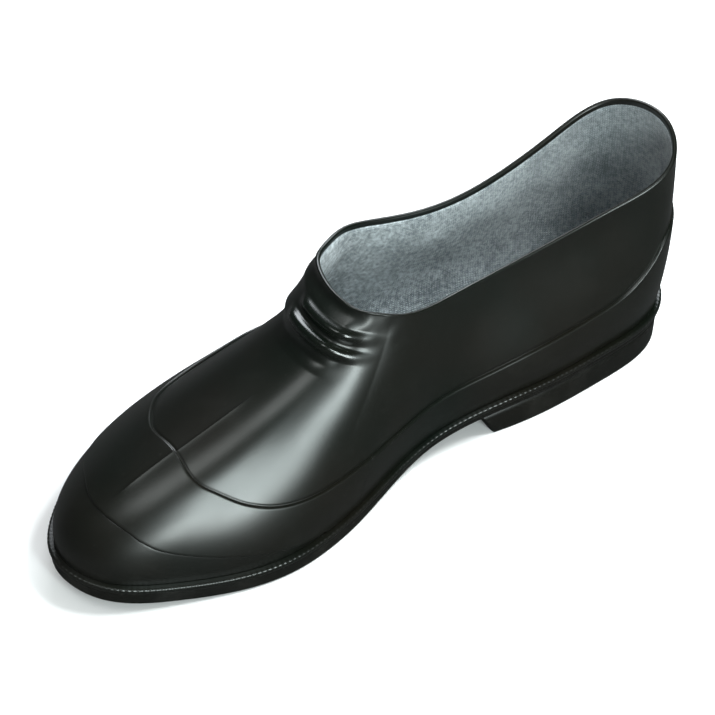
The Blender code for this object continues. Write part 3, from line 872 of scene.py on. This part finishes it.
def knit_material(name, shade, light, stitch):
    """Blue-grey jersey knit with paler flecks and a soft nap, and painted shade that darkens it towards the
    heel.
    """
    look, tree, shader = start_material(name, KNIT_ROUGHNESS, sheen=KNIT_SHEEN)
    surface_map = tree.nodes.new("ShaderNodeUVMap")
    surface_map.uv_map = "surface"
    place = object_position(tree)
    sizes = [("Wale", stitch.wale), ("Course", stitch.course)]
    knit = place_group(tree, SHADER_GROUPS["jersey knit"], [("Surface", surface_map.outputs[0])], sizes)
    clouds = noise_node(tree, place, KNIT_CLOUD_SCALE, 4.0, 0.6)
    flecks = noise_node(tree, place, KNIT_FLECK_SCALE, 2.0, 0.6)
    tone = weighted_sum(tree, knit.outputs["Tone"], clouds, 0.8)
    tone = weighted_sum(tree, tone, flecks, 1.3)
    colour = mix_colour(tree, range_node(tree, tone, 1.3, 1.95), shade, light)
    split = tree.nodes.new("ShaderNodeSeparateXYZ")
    tree.links.new(place, split.inputs[0])
    # Painted shade: the colour is darkened towards the heel, where the inside of the shoe lies in shadow.
    back = range_node(tree, split.outputs["Y"], HEEL_PAINTED_SHADE_FROM_Y * MM, HEEL_PAINTED_SHADE_TO_Y * MM, 0.0, HEEL_PAINTED_SHADE)
    colour = mix_colour(tree, back, colour, tuple(HEEL_PAINTED_SHADE_TONE * part for part in shade))
    tree.links.new(colour, shader.inputs["Base Color"])
    add_bump(tree, shader, knit.outputs["Height"], KNIT_BUMP, KNIT_BUMP_HEIGHT)
    return look


SHADER_GROUPS = {}
LOOKS = {}


def build_looks(finish):
    """Makes the shader groups and every material once."""
    SHADER_GROUPS["rubber surface"] = rubber_surface_group()
    SHADER_GROUPS["settled dust"] = dust_group()
    SHADER_GROUPS["jersey knit"] = knit_group()
    black = tuple(finish.rubber_colour)
    brownish = tuple(finish.rubber_tint)
    sole = tuple(finish.sole_colour)
    shade = tuple(finish.knit_shade)
    light = tuple(finish.knit_light)
    gloss = finish.upper_roughness
    LOOKS["upper rubber"] = rubber_material(UPPER_RUBBER, black, brownish, gloss)
    LOOKS["foxing rubber"] = rubber_material(FOXING_RUBBER, black, brownish, gloss + FOXING_ROUGHER)
    LOOKS["sole rubber"] = rubber_material(SOLE_RUBBER, sole, brownish, SOLE_ROUGHNESS)
    LOOKS["lining"] = knit_material("jersey lining", shade, light, LINING_STITCH)
    LOOKS["insole knit"] = knit_material("insole jersey", shade, light, INSOLE_STITCH)


# Pieces.

def foxing_rows(turn):
    """Depths below the collar of the foxing line and of the ledge, for each column."""
    return crossing_depth(turn, foxing_outline()), spoke_depths(turn)[1][:, 0]


def upper_rows(turn):
    """Heights of the outside's rows: few under the foxing, close at its line and on the ribs."""
    line, total = foxing_rows(turn)
    under = np.linspace(0.0, 1.0, UNDER_ROWS + 1)[:-1]
    below = total[:, None] + (line + LINE_BELOW - total)[:, None] * under
    near = line[:, None] + np.linspace(LINE_BELOW, -LINE_ABOVE, LINE_ROWS)
    zone = np.minimum(RIB_ZONE, line - RIB_ZONE_CLEAR)
    climb = np.arange(1, WALL_ROWS) / WALL_ROWS
    between = (line - LINE_ABOVE)[:, None] + (zone - line + LINE_ABOVE)[:, None] * climb
    ribs = zone[:, None] * np.linspace(1.0, 0.0, RIB_ROWS)
    return height_at_depth(turn, np.hstack([below, near, between, ribs])), line


def build_upper():
    """The upper: outside with its detail, rolled collar edge and inside."""
    turn = column_turns()
    outer, line = upper_rows(turn)
    depth = below_collar(turn, outer)
    crease = -CREASE_DEPTH * np.exp(-((line[:, None] - depth - CREASE_BELOW) / CREASE_WIDTH) ** 2)
    outside = shell(turn, outer, crease)
    steps = np.linspace(0.0, np.pi, COLLAR_STEPS + 1)[1:-1]
    top = np.ones((len(turn), len(steps)))
    middle = shell(turn, top, np.full_like(top, -WALL / 2.0), with_relief=False)
    out = normals(turn, top)
    crown = middle + out * (np.cos(steps) * WALL / 2.0)[None, :, None]
    crown[:, :, 2] += np.sin(steps) * WALL / 2.0 * COLLAR_ROLL
    inner = np.linspace(1.0, 0.0, INNER_ROWS + 1)[None, :].repeat(len(turn), axis=0)
    inside = shell(turn, inner, np.full_like(inner, -WALL), with_relief=False)
    points, faces = closed_grid(np.concatenate([outside, crown, inside], axis=1))
    polish = np.zeros((crown.shape[1] + inside.shape[1] + outer.shape[1], len(turn)))
    crests = rib_shape(depth, surface(turn, outer)) / RIBS[0].height
    polish[:outer.shape[1]] = np.clip(crests, 0.0, 1.0).T
    look = LOOKS["upper rubber"]
    return add_piece("upper_shell", points, faces, look, ["upper"], polish=polish)


def build_lining():
    """Thin knit bonded inside the upper, from just under the collar's edge to the insole."""
    turn = np.arange(COLUMNS) / COLUMNS
    _, depths = spoke_depths(turn)
    span = depths[:, 0] - LINING_DROP
    down = LINING_DROP + span[:, None] * np.linspace(0.0, 1.0, LINING_ROWS + 1)
    front = height_at_depth(turn, down)
    points = surface(turn, front)
    loose = unevenness(points, LINING_FOLDS) + unevenness(points, LINING_CRUMPLE)
    lift = np.clip((down - LINING_DROP) / LINING_ROUND, 0.0, 1.0)
    lift = np.sqrt(1.0 - (1.0 - lift) ** 2)
    offset = -WALL + LINING_SINK - (LINING_THICK + loose * 0.5) * lift
    face = shell(turn, front, offset, with_relief=False)
    rising = np.linspace(1.0, 0.0, LINING_BACK_ROWS)
    back_rows = height_at_depth(turn, LINING_DROP + span[:, None] * rising)
    back = shell(turn, back_rows, np.full_like(back_rows, -WALL + LINING_BACK), with_relief=False)
    grid = np.concatenate([face, back], axis=1)
    points, faces = closed_grid(grid)
    uv = surface_uv(turn, grid)
    return add_piece("knit_lining", points, faces, LOOKS["lining"], [], uv)


def rounded_edge(distance, thick):
    """Offset of an overlay near its edge: sunk at the line, full after a rounded shoulder."""
    u = np.clip(distance / EDGE_ROUND, 0.0, 1.0)
    return -SUNK + (thick + SUNK) * np.sqrt(1.0 - (1.0 - u) ** 2)


def overlay(name, turn, top_depth, low_depth, thick, low_edge, node):
    """A moulded layer on the upper between two lines; its edges roll over and sink in.

    low_edge tells the columns whose lower edge is seen and so rolls over too.
    """
    span = (low_depth - top_depth)[:, None]
    edge = np.minimum(np.array(EDGE_STEPS)[None, :], span * EDGE_SHARE)
    inner_steps = np.linspace(0.0, 1.0, OVERLAY_ROWS)
    middle = edge[:, -1:] + (span - 2.0 * edge[:, -1:]) * inner_steps
    away = np.hstack([edge, middle[:, 1:-1], span - edge[:, ::-1]])
    offset = rounded_edge(away, thick)
    lower = rounded_edge(span - away, thick)
    offset = np.where(low_edge[:, None], np.minimum(offset, lower), offset)
    rows = height_at_depth(turn, top_depth[:, None] + away)
    face = shell(turn, rows, offset)
    back_rows = rows[:, ::-BACK_STRIDE]
    back = shell(turn, back_rows, np.full_like(back_rows, -SUNK - BACK_DEEPER))
    points, faces = capped_strip(np.concatenate([face, back], axis=1))
    made = add_piece(name, points, faces, LOOKS["foxing rubber"], [node])
    for polygon in made.data.polygons:
        if len(polygon.vertices) > 4:
            polygon.use_smooth = False


def joint_turns():
    """Turns at which the foxing's joint crosses the ledge on each side."""
    turn = np.linspace(0.0, 1.0, JOINT_SAMPLES)
    rim, _ = rim_frame(turn)
    ahead = np.flatnonzero(rim[:, 1] < FOXING_JOINT_Y)
    return turn[ahead[0]], turn[ahead[-1]]


def build_overlays():
    """The toe cap, the toe foxing below it, and the counter with the quarters' foxing."""
    medial, lateral = joint_turns()
    fine = column_turns()
    inside = fine[(fine > medial) & (fine < lateral)]
    toe = np.concatenate([[medial], inside, [lateral]])
    fox_line, ledge = foxing_rows(toe)
    toe_line = crossing_depth(toe, toe_foxing_outline())
    toe_line = np.where(toe_line < ledge, toe_line, ledge)
    has_strip = ledge - toe_line > STRIP_LEAST
    thick = GAP + FOXING_THICK
    low = np.where(has_strip, toe_line, ledge)
    overlay("toe_cap_skin", toe, fox_line, low, thick, has_strip, "toe_cap")
    strip = toe[has_strip]
    start = np.maximum(toe_line[has_strip] - STRIP_UNDER, fox_line[has_strip] + STRIP_CLEAR)
    thin = GAP + TOE_FOXING_THICK
    none = np.zeros(len(strip), bool)
    overlay("toe_foxing_skin", strip, start, ledge[has_strip], thin, none, "toe_foxing")
    behind = np.concatenate([fine[fine > lateral] - 1.0, fine[fine < medial]])
    under_cap = [lateral - 1.0 - TUCK_RUN, lateral - 1.0]
    heel = np.concatenate([under_cap, behind, [medial, medial + TUCK_RUN]])
    wrapped = np.mod(heel, 1.0)
    fox_line, ledge = foxing_rows(wrapped)
    none = np.zeros(len(heel), bool)
    thickness = np.full((len(heel), 1), thick)
    thickness[[0, -1]] -= TUCK_DEPTH
    overlay("heel_counter_skin", wrapped, fox_line, ledge, thickness, none, "heel_counter")


def ring_at(turn, inset, heights):
    """A closed ring set in from the sole's rim."""
    rim, outward = rim_frame(turn)
    return np.column_stack([rim - outward * np.reshape(inset, (-1, 1)), heights])


def rim_x_at(y, medial):
    """Where the sole's outline crosses a given place along the shoe."""
    turn = np.linspace(0.02, 0.48, 200) if medial else np.linspace(0.98, 0.52, 200)
    rim, _ = rim_frame(turn)
    return np.interp(-np.asarray(y, float), -rim[:, 1], rim[:, 0])


def tread(points, count, first_y):
    """Depth of the bar grooves at each point of an underside."""
    x = points[:, 0]
    y = points[:, 1]
    depth = np.zeros(len(points))
    for k in range(count):
        at = first_y - k * GROOVE_PITCH
        inner = float(rim_x_at(at, True))
        outer = float(rim_x_at(at, False))
        half = (inner - outer) / 2.0 - GROOVE_MARGIN
        aside = (x - (inner + outer) / 2.0) / half
        near = at - GROOVE_BOW * np.cos(np.clip(aside, -1.0, 1.0) * np.pi / 2.0)
        behind = near + GROOVE_WIDTH
        across = ease(y, near - GROOVE_WALL, near + GROOVE_WALL)
        across = across * (1.0 - ease(y, behind - GROOVE_WALL, behind + GROOVE_WALL))
        ends = 1.0 - ease(np.abs(aside) * half, half - GROOVE_WALL, half + GROOVE_WALL)
        depth = np.maximum(depth, TREAD_DEPTH * across * ends)
    return depth


def ladder(rim, height_of, across):
    """A surface inside a closed ring: rungs join each medial point to its lateral partner."""
    count = len(rim)
    half = count // 2
    u = np.linspace(0.0, 1.0, across + 1)[None, :, None]
    left = rim[1:half][:, None, :]
    right = rim[:half:-1][:, None, :]
    rungs = left * (1.0 - u) + right * u
    inner = rungs[:, 1:-1].reshape(-1, 3)
    inner[:, 2] = height_of(inner)
    rungs[:, 1:-1] = inner.reshape(half - 1, across - 1, 3)
    points = np.vstack([rim[:1], rungs.reshape(-1, 3), rim[half:half + 1]])
    end = len(points) - 1
    index = 1 + np.arange((half - 1) * (across + 1)).reshape(half - 1, across + 1)
    quads = np.stack([index[:-1, :-1], index[1:, :-1], index[1:, 1:], index[:-1, 1:]], axis=-1)
    faces = [tuple(face) for face in quads.reshape(-1, 4)]
    for j in range(across):
        faces.append((0, index[0, j], index[0, j + 1]))
        faces.append((end, index[-1, j + 1], index[-1, j]))
    ring = [0] + list(index[:, 0]) + [end] + list(index[::-1, -1])
    return points, faces, ring


def sandwich(levels, top_of, bottom_of, across_top, across_bottom):
    """A closed plate: ladders above and below, joined by the rings between them."""
    top, top_faces, top_ring = ladder(levels[0], top_of, across_top)
    low, low_faces, low_ring = ladder(levels[-1], bottom_of, across_bottom)
    faces = top_faces + [tuple(i + len(top) for i in face[::-1]) for face in low_faces]
    points = [top, low]
    total = len(top) + len(low)
    rings = [top_ring]
    for level in levels[1:-1]:
        rings.append(list(range(total, total + len(level))))
        points.append(level)
        total += len(level)
    rings.append([i + len(top) for i in low_ring])
    count = len(levels[0])
    for above, below in zip(rings[:-1], rings[1:]):
        for i in range(count):
            j = (i + 1) % count
            faces.append((above[j], above[i], below[i], below[j]))
    return np.vstack(points), faces


def build_welt():
    """The ledge round the sole: rounded edge with fine flutes, as moulded welt stitching."""
    turn = np.arange(WELT_COLUMNS) / WELT_COLUMNS
    rim, _ = rim_frame(turn)
    ledge = ledge_height(rim[:, 1])
    run = run_at(turn)
    flutes = np.round(LAST.length / FLUTE_PITCH)
    wave = 0.5 - 0.5 * np.cos(run / LAST.length * 2.0 * np.pi * flutes)
    # Each step of the profile: inset, drop, and how much of the flutes' depth it shows.
    profile = [(SEAT_INSET, 0.0, 0.0), (WELT_WIDTH - 0.6, 0.0, 0.0), (WELT_WIDTH - 1.6, 0.0, 0.3)]
    profile += [(WELT_ROUND + 0.3, 0.0, 0.8)]
    for angle in np.linspace(0.0, np.pi / 2.0, 6):
        inset = WELT_ROUND * (1.0 - np.sin(angle))
        drop = WELT_ROUND * (1.0 - np.cos(angle))
        profile.append((inset, drop, 1.0))
    foot = EDGE_STEP_DROP - 0.4
    profile += [(0.0, foot, 0.8), (0.12, foot + 0.28, 0.4), (0.4, EDGE_STEP_DROP, 0.0)]
    profile += [(SEAT_INSET, EDGE_STEP_DROP, 0.0)]
    rings = []
    for inset, drop, share in profile:
        sunk = wave * FLUTE_DEPTH * share
        rings.append(ring_at(turn, inset + sunk * FLUTE_SLANT, ledge - drop - sunk * FLUTE_SLANT))
    points, faces = closed_grid(np.stack(rings, axis=1))
    return add_piece("welt_ledge", points, faces, LOOKS["foxing rubber"], ["outsole"])


def build_outsole():
    """The sole below the ledge, with its tucked edge and bar tread."""
    turn = np.arange(SOLE_COLUMNS) / SOLE_COLUMNS
    rim, _ = rim_frame(turn)
    ledge = ledge_height(rim[:, 1])
    under = sole_underside(rim[:, 1])
    seat = SEAT_INSET - SEAT_OVERLAP
    shoulder = ledge - EDGE_STEP_DROP + SEAT_OVERLAP
    levels = [
        ring_at(turn, seat, ledge - SEAT_DROP),
        ring_at(turn, seat, shoulder),
        ring_at(turn, EDGE_STEP_IN + SEAT_OVERLAP, shoulder),
        ring_at(turn, EDGE_STEP_IN, shoulder - SHOULDER_DROP),
        ring_at(turn, EDGE_STEP_IN, under + LOWER_ROUND),
    ]
    for angle in np.radians((20.0, 45.0, 70.0)):
        inset = EDGE_STEP_IN + EDGE_TUCK * (1.0 - np.cos(angle))
        levels.append(ring_at(turn, inset, under + LOWER_ROUND * (1.0 - np.sin(angle))))
    levels.append(ring_at(turn, EDGE_STEP_IN + EDGE_TUCK, under))

    def top(points):
        return ledge_height(points[:, 1]) - SEAT_DROP

    def bottom(points):
        return sole_underside(points[:, 1]) + tread(points, FORE_GROOVES, FORE_GROOVE_FROM_Y)

    points, faces = sandwich(levels, top, bottom, ACROSS_HIDDEN, ACROSS)
    return add_piece("outsole_body", points, faces, LOOKS["sole rubber"], ["outsole"])


def heel_plan(inset, breast_y):
    """The heel's outline at one level: round the rim, then across the breast."""
    fine = np.linspace(0.0, 0.5, HEEL_RUN_SAMPLES)
    plans = []
    for side in (1.0, -1.0):
        rim, outward = rim_frame(np.mod(fine * side, 1.0))
        rim = rim - outward * inset
        stop = np.flatnonzero(rim[:, 1] < breast_y)[0]
        steps = np.linalg.norm(np.diff(rim[:stop + 1], axis=0), axis=1)
        run = np.append(0.0, np.cumsum(steps))
        even = np.linspace(0.0, run[-1], HEEL_SIDE)
        plans.append(np.column_stack([np.interp(even, run, rim[:stop + 1, k]) for k in (0, 1)]))
    medial, lateral = plans
    across = np.linspace(0.0, 1.0, HEEL_BREAST + 1)[1:-1, None]
    front = medial[-1] * (1.0 - across) + lateral[-1] * across
    return np.vstack([medial, front, lateral[:0:-1]])


def rounded_heel_plan(inset, breast_y):
    """The heel's outline with its corners rounded: each point is the mean of its neighbours."""
    plan = heel_plan(inset, breast_y)
    reach = range(-CORNER_REACH, CORNER_REACH + 1)
    return sum(np.roll(plan, step, axis=0) for step in reach) / len(reach)


def build_heel():
    """The heel block: tapered sides, slanted breast, rounded lower edge and tread."""
    levels = []
    for share in (0.0, 0.3, 0.7, 1.0):
        breast = BREAST_TOP_Y + (BREAST_FLOOR_Y - BREAST_TOP_Y) * share
        plan = rounded_heel_plan(HEEL_INSET + HEEL_TAPER * share, breast)
        top = sole_underside(plan[:, 1]) - HEEL_OVERLAP
        levels.append(np.column_stack([plan, top * (1.0 - share) + HEEL_EDGE * share]))
    for angle in np.radians((30.0, 60.0, 90.0)):
        turned_in = HEEL_EDGE * (1.0 - np.cos(angle))
        plan = rounded_heel_plan(HEEL_INSET + HEEL_TAPER + turned_in, BREAST_FLOOR_Y + turned_in)
        levels.append(np.column_stack([plan, np.full(len(plan), HEEL_EDGE * (1.0 - np.sin(angle)))]))

    def top(points):
        return sole_underside(points[:, 1]) - HEEL_OVERLAP

    def bottom(points):
        return tread(points, HEEL_GROOVES, HEEL_GROOVE_FROM_Y)

    points, faces = sandwich(levels, top, bottom, ACROSS_HIDDEN, ACROSS)
    return add_piece("heel_block", points, faces, LOOKS["sole rubber"], ["heel"])


def build_insole():
    """The knit-covered sheet inside, with a soft rounded edge."""
    turn = np.arange(COLUMNS) / COLUMNS
    rim, _ = rim_frame(turn)
    ledge = ledge_height(rim[:, 1]) + GAP
    shoulder = ledge + INSOLE_THICK - INSOLE_ROUND
    levels = []
    for angle in np.radians((90.0, 60.0, 30.0, 0.0)):
        inset = SEAT_INSET + INSOLE_ROUND * (1.0 - np.cos(angle))
        levels.append(ring_at(turn, inset, shoulder + INSOLE_ROUND * np.sin(angle)))
    levels.append(ring_at(turn, SEAT_INSET, ledge))

    def top(points):
        return ledge_height(points[:, 1]) + GAP + INSOLE_THICK + unevenness(points, INSOLE_WAVES)

    def bottom(points):
        return ledge_height(points[:, 1]) + GAP

    points, faces = sandwich(levels, top, bottom, ACROSS, ACROSS_HIDDEN)
    corners = np.concatenate([np.array(face) for face in faces])
    uv = np.asarray(points)[corners][:, :2]
    return add_piece("insole_sheet", points, faces, LOOKS["insole knit"], ["insole"], uv)


# Stage.

# Angles are in degrees, lengths in metres and power in watts.
Light = namedtuple("Light", "name azimuth elevation distance width height power colour mirrored")
LIGHTS = (
    Light("tall window", 84.0, 29.0, 1.5, 0.21, 0.85, 11.5, (0.88, 1.0, 0.99), True),
    Light("low window", 74.0, 14.0, 1.5, 0.24, 0.4, 5.0, (0.90, 1.0, 0.98), True),
    Light("overhead panel", 18.0, 70.0, 1.5, 0.6, 0.6, 3.0, (0.94, 1.0, 0.98), True),
    Light("back panel", 234.0, 39.0, 1.6, 0.8, 0.6, 11.0, (0.90, 0.96, 1.0), True),
    Light("inside fill", 150.0, 58.0, 1.5, 0.5, 0.5, 26.0, (0.95, 1.0, 1.0), False),
)

SENSOR_WIDTH = 36.0
FLOOR_ROUGHNESS = 0.7
FLOOR_PALE = (0.93, 0.93, 0.93)
FLOOR_PALER = (0.95, 0.95, 0.95)
BACKDROP = (1.0, 1.0, 1.0)


def direction(azimuth, elevation):
    """Unit vector from the shoe: azimuth 0 lies towards -Y and 90 towards +X."""
    a, e = np.radians((azimuth, elevation))
    return Vector((np.sin(a) * np.cos(e), -np.cos(a) * np.cos(e), np.sin(e)))


def add_light(spec, middle):
    """A soft panel that faces the shoe."""
    data = bpy.data.lights.new(spec.name, "AREA")
    data.shape = "RECTANGLE"
    data.size = spec.width
    data.size_y = spec.height
    data.energy = spec.power
    data.color = spec.colour
    light = bpy.data.objects.new(spec.name, data)
    towards = direction(spec.azimuth, spec.elevation)
    light.location = middle + towards * spec.distance
    light.rotation_euler = towards.to_track_quat("Z", "Y").to_euler()
    light.visible_glossy = spec.mirrored
    bpy.context.scene.collection.objects.link(light)


def build_world(stage):
    """Pale to the camera and softly lit, and dimmer where the gloss mirrors it."""
    world = bpy.data.worlds.new("studio")
    bpy.context.scene.world = world
    world.use_nodes = True
    tree = world.node_tree
    background = tree.nodes["Background"]
    rays = tree.nodes.new("ShaderNodeLightPath")
    dim = mix_colour(tree, rays.outputs["Is Glossy Ray"], (stage.ambient,) * 3, (stage.mirrored,) * 3)
    seen = mix_colour(tree, rays.outputs["Is Camera Ray"], dim, BACKDROP)
    tree.links.new(seen, background.inputs["Color"])


def build_floor(stage):
    """A wide plain floor, dimmer in reflections than to the eye."""
    look, tree, shader = start_material("pale floor", FLOOR_ROUGHNESS)
    rays = tree.nodes.new("ShaderNodeLightPath")
    paper = noise_node(tree, object_position(tree), 90.0, 3.0, 0.5)
    pale = mix_colour(tree, paper, FLOOR_PALE, FLOOR_PALER)
    colour = mix_colour(tree, rays.outputs["Is Glossy Ray"], pale, (stage.mirrored_floor,) * 3)
    tree.links.new(colour, shader.inputs["Base Color"])
    shader.inputs["Specular IOR Level"].default_value = 0.0
    half = stage.floor_size / 2.0
    mesh = bpy.data.meshes.new("floor")
    corners = [(-half, -half, 0.0), (half, -half, 0.0), (half, half, 0.0), (-half, half, 0.0)]
    mesh.from_pydata(corners, [], [(0, 1, 2, 3)])
    mesh.materials.append(look)
    floor = bpy.data.objects.new("floor", mesh)
    bpy.context.scene.collection.objects.link(floor)


def build_camera(stage):
    """The photograph's angle on the shoe, rolled as there, with the shoe in the middle."""
    data = bpy.data.cameras.new("camera")
    data.lens = stage.lens
    data.sensor_width = SENSOR_WIDTH
    camera = bpy.data.objects.new("camera", data)
    aim = Vector((0.0, 0.0, stage.aim_height))
    towards = direction(stage.azimuth, stage.elevation)
    turn = towards.to_track_quat("Z", "Y").to_matrix().to_4x4()
    roll = Matrix.Rotation(np.radians(stage.roll), 4, "Z")
    camera.matrix_world = Matrix.Translation(aim + towards * stage.distance) @ turn @ roll
    bpy.context.scene.collection.objects.link(camera)
    bpy.context.scene.camera = camera


# Settings, operators and panel.

class OvershoeFinish(bpy.types.PropertyGroup):
    """Colours and gloss of the overshoe"""

    rubber_colour: bpy.props.FloatVectorProperty(
        name="Rubber", description="Main colour of the upper's rubber", subtype="COLOR",
        size=3, min=0.0, max=1.0, default=(0.0018, 0.0042, 0.0026),
    )
    rubber_tint: bpy.props.FloatVectorProperty(
        name="Rubber Tint", description="Second tone that the rubber drifts towards", subtype="COLOR",
        size=3, min=0.0, max=1.0, default=(0.0042, 0.0040, 0.0022),
    )
    sole_colour: bpy.props.FloatVectorProperty(
        name="Sole", description="Colour of the sole and heel", subtype="COLOR",
        size=3, min=0.0, max=1.0, default=(0.0034, 0.0042, 0.0032),
    )
    knit_shade: bpy.props.FloatVectorProperty(
        name="Knit Shade", description="Darker yarn tone of the lining", subtype="COLOR",
        size=3, min=0.0, max=1.0, default=(0.160, 0.195, 0.212),
    )
    knit_light: bpy.props.FloatVectorProperty(
        name="Knit Light", description="Paler yarn tone of the lining", subtype="COLOR",
        size=3, min=0.0, max=1.0, default=(0.68, 0.75, 0.775),
    )
    upper_roughness: bpy.props.FloatProperty(
        name="Upper Roughness", description="Roughness of the upper's rubber", subtype="FACTOR",
        min=0.05, max=1.0, default=0.34,
    )


class OvershoeStage(bpy.types.PropertyGroup):
    """Camera, light and floor"""

    azimuth: bpy.props.FloatProperty(
        name="Azimuth", description="Camera's place round the shoe in degrees, 90 is its inner side",
        default=61.26,
    )
    elevation: bpy.props.FloatProperty(
        name="Elevation", description="Camera's height above the horizon in degrees", default=45.69,
    )
    distance: bpy.props.FloatProperty(
        name="Distance", description="Camera's distance from the shoe", unit="LENGTH", default=1.7376,
    )
    roll: bpy.props.FloatProperty(
        name="Roll", description="Turn of the picture in degrees", default=-3.09,
    )
    lens: bpy.props.FloatProperty(
        name="Lens", description="Focal length in millimetres on a 36 mm sensor", default=205.0,
    )
    aim_height: bpy.props.FloatProperty(
        name="Aim Height", description="Height of the point that the camera faces", unit="LENGTH",
        default=0.0445,
    )
    ambient: bpy.props.FloatProperty(
        name="Ambient", description="Brightness of the room's soft light", min=0.0, default=0.52,
    )
    mirrored: bpy.props.FloatProperty(
        name="Mirrored Room", description="Brightness of the room in reflections", min=0.0, default=0.05,
    )
    mirrored_floor: bpy.props.FloatProperty(
        name="Mirrored Floor", description="Paleness of the floor in reflections", min=0.0, default=0.05,
    )
    floor_size: bpy.props.FloatProperty(
        name="Floor Size", description="Side of the square floor", unit="LENGTH", default=12.0,
    )


class OVERSHOE_OT_upper(bpy.types.Operator):
    """Builds the upper with its ribs, keel and rolled collar"""

    bl_idname = "overshoe.upper"
    bl_label = "Upper"

    def execute(self, context):
        build_upper()
        return {"FINISHED"}


class OVERSHOE_OT_lining(bpy.types.Operator):
    """Builds the knit lining and the insole"""

    bl_idname = "overshoe.lining"
    bl_label = "Lining and Insole"

    def execute(self, context):
        build_lining()
        build_insole()
        return {"FINISHED"}


class OVERSHOE_OT_overlays(bpy.types.Operator):
    """Builds the toe cap, toe foxing and heel counter"""

    bl_idname = "overshoe.overlays"
    bl_label = "Cap, Foxing and Counter"

    def execute(self, context):
        build_overlays()
        return {"FINISHED"}


class OVERSHOE_OT_sole(bpy.types.Operator):
    """Builds the welt ledge, the outsole and the heel"""

    bl_idname = "overshoe.sole"
    bl_label = "Sole and Heel"

    def execute(self, context):
        build_welt()
        build_outsole()
        build_heel()
        return {"FINISHED"}


class OVERSHOE_OT_looks(bpy.types.Operator):
    """Makes the rubber and knit materials"""

    bl_idname = "overshoe.looks"
    bl_label = "Materials"

    def execute(self, context):
        build_looks(context.scene.overshoe_finish)
        return {"FINISHED"}


class OVERSHOE_OT_stage(bpy.types.Operator):
    """Sets up the floor, the soft light and the camera"""

    bl_idname = "overshoe.stage"
    bl_label = "Stage"

    def execute(self, context):
        stage = context.scene.overshoe_stage
        build_world(stage)
        build_floor(stage)
        build_camera(stage)
        middle = Vector((0.0, 0.0, stage.aim_height))
        for spec in LIGHTS:
            add_light(spec, middle)
        return {"FINISHED"}


OPERATORS = (
    OVERSHOE_OT_looks,
    OVERSHOE_OT_upper,
    OVERSHOE_OT_lining,
    OVERSHOE_OT_overlays,
    OVERSHOE_OT_sole,
    OVERSHOE_OT_stage,
)


class OVERSHOE_PT_panel(bpy.types.Panel):
    """Lists the overshoe's settings and build steps"""

    bl_idname = "OVERSHOE_PT_panel"
    bl_label = "Rubber Overshoe"
    bl_space_type = "VIEW_3D"
    bl_region_type = "UI"
    bl_category = "Overshoe"

    def draw(self, context):
        layout = self.layout
        for settings in (context.scene.overshoe_finish, context.scene.overshoe_stage):
            column = layout.column()
            for label in settings.__annotations__:
                column.prop(settings, label)
        for operator in OPERATORS:
            layout.operator(operator.bl_idname)


CLASSES = (OvershoeFinish, OvershoeStage) + OPERATORS + (OVERSHOE_PT_panel,)


def register():
    """Registers the classes and hangs the settings on the scene."""
    for item in CLASSES:
        bpy.utils.register_class(item)
    bpy.types.Scene.overshoe_finish = bpy.props.PointerProperty(type=OvershoeFinish)
    bpy.types.Scene.overshoe_stage = bpy.props.PointerProperty(type=OvershoeStage)


def unregister():
    """Takes the settings off the scene and unregisters the classes."""
    del bpy.types.Scene.overshoe_stage
    del bpy.types.Scene.overshoe_finish
    for item in reversed(CLASSES):
        bpy.utils.unregister_class(item)


def main():
    register()
    bpy.context.scene.view_settings.view_transform = "Standard"
    bpy.ops.overshoe.looks()
    bpy.ops.overshoe.upper()
    bpy.ops.overshoe.lining()
    bpy.ops.overshoe.overlays()
    bpy.ops.overshoe.sole()
    bpy.ops.overshoe.stage()


if __name__ == "__main__":
    main()
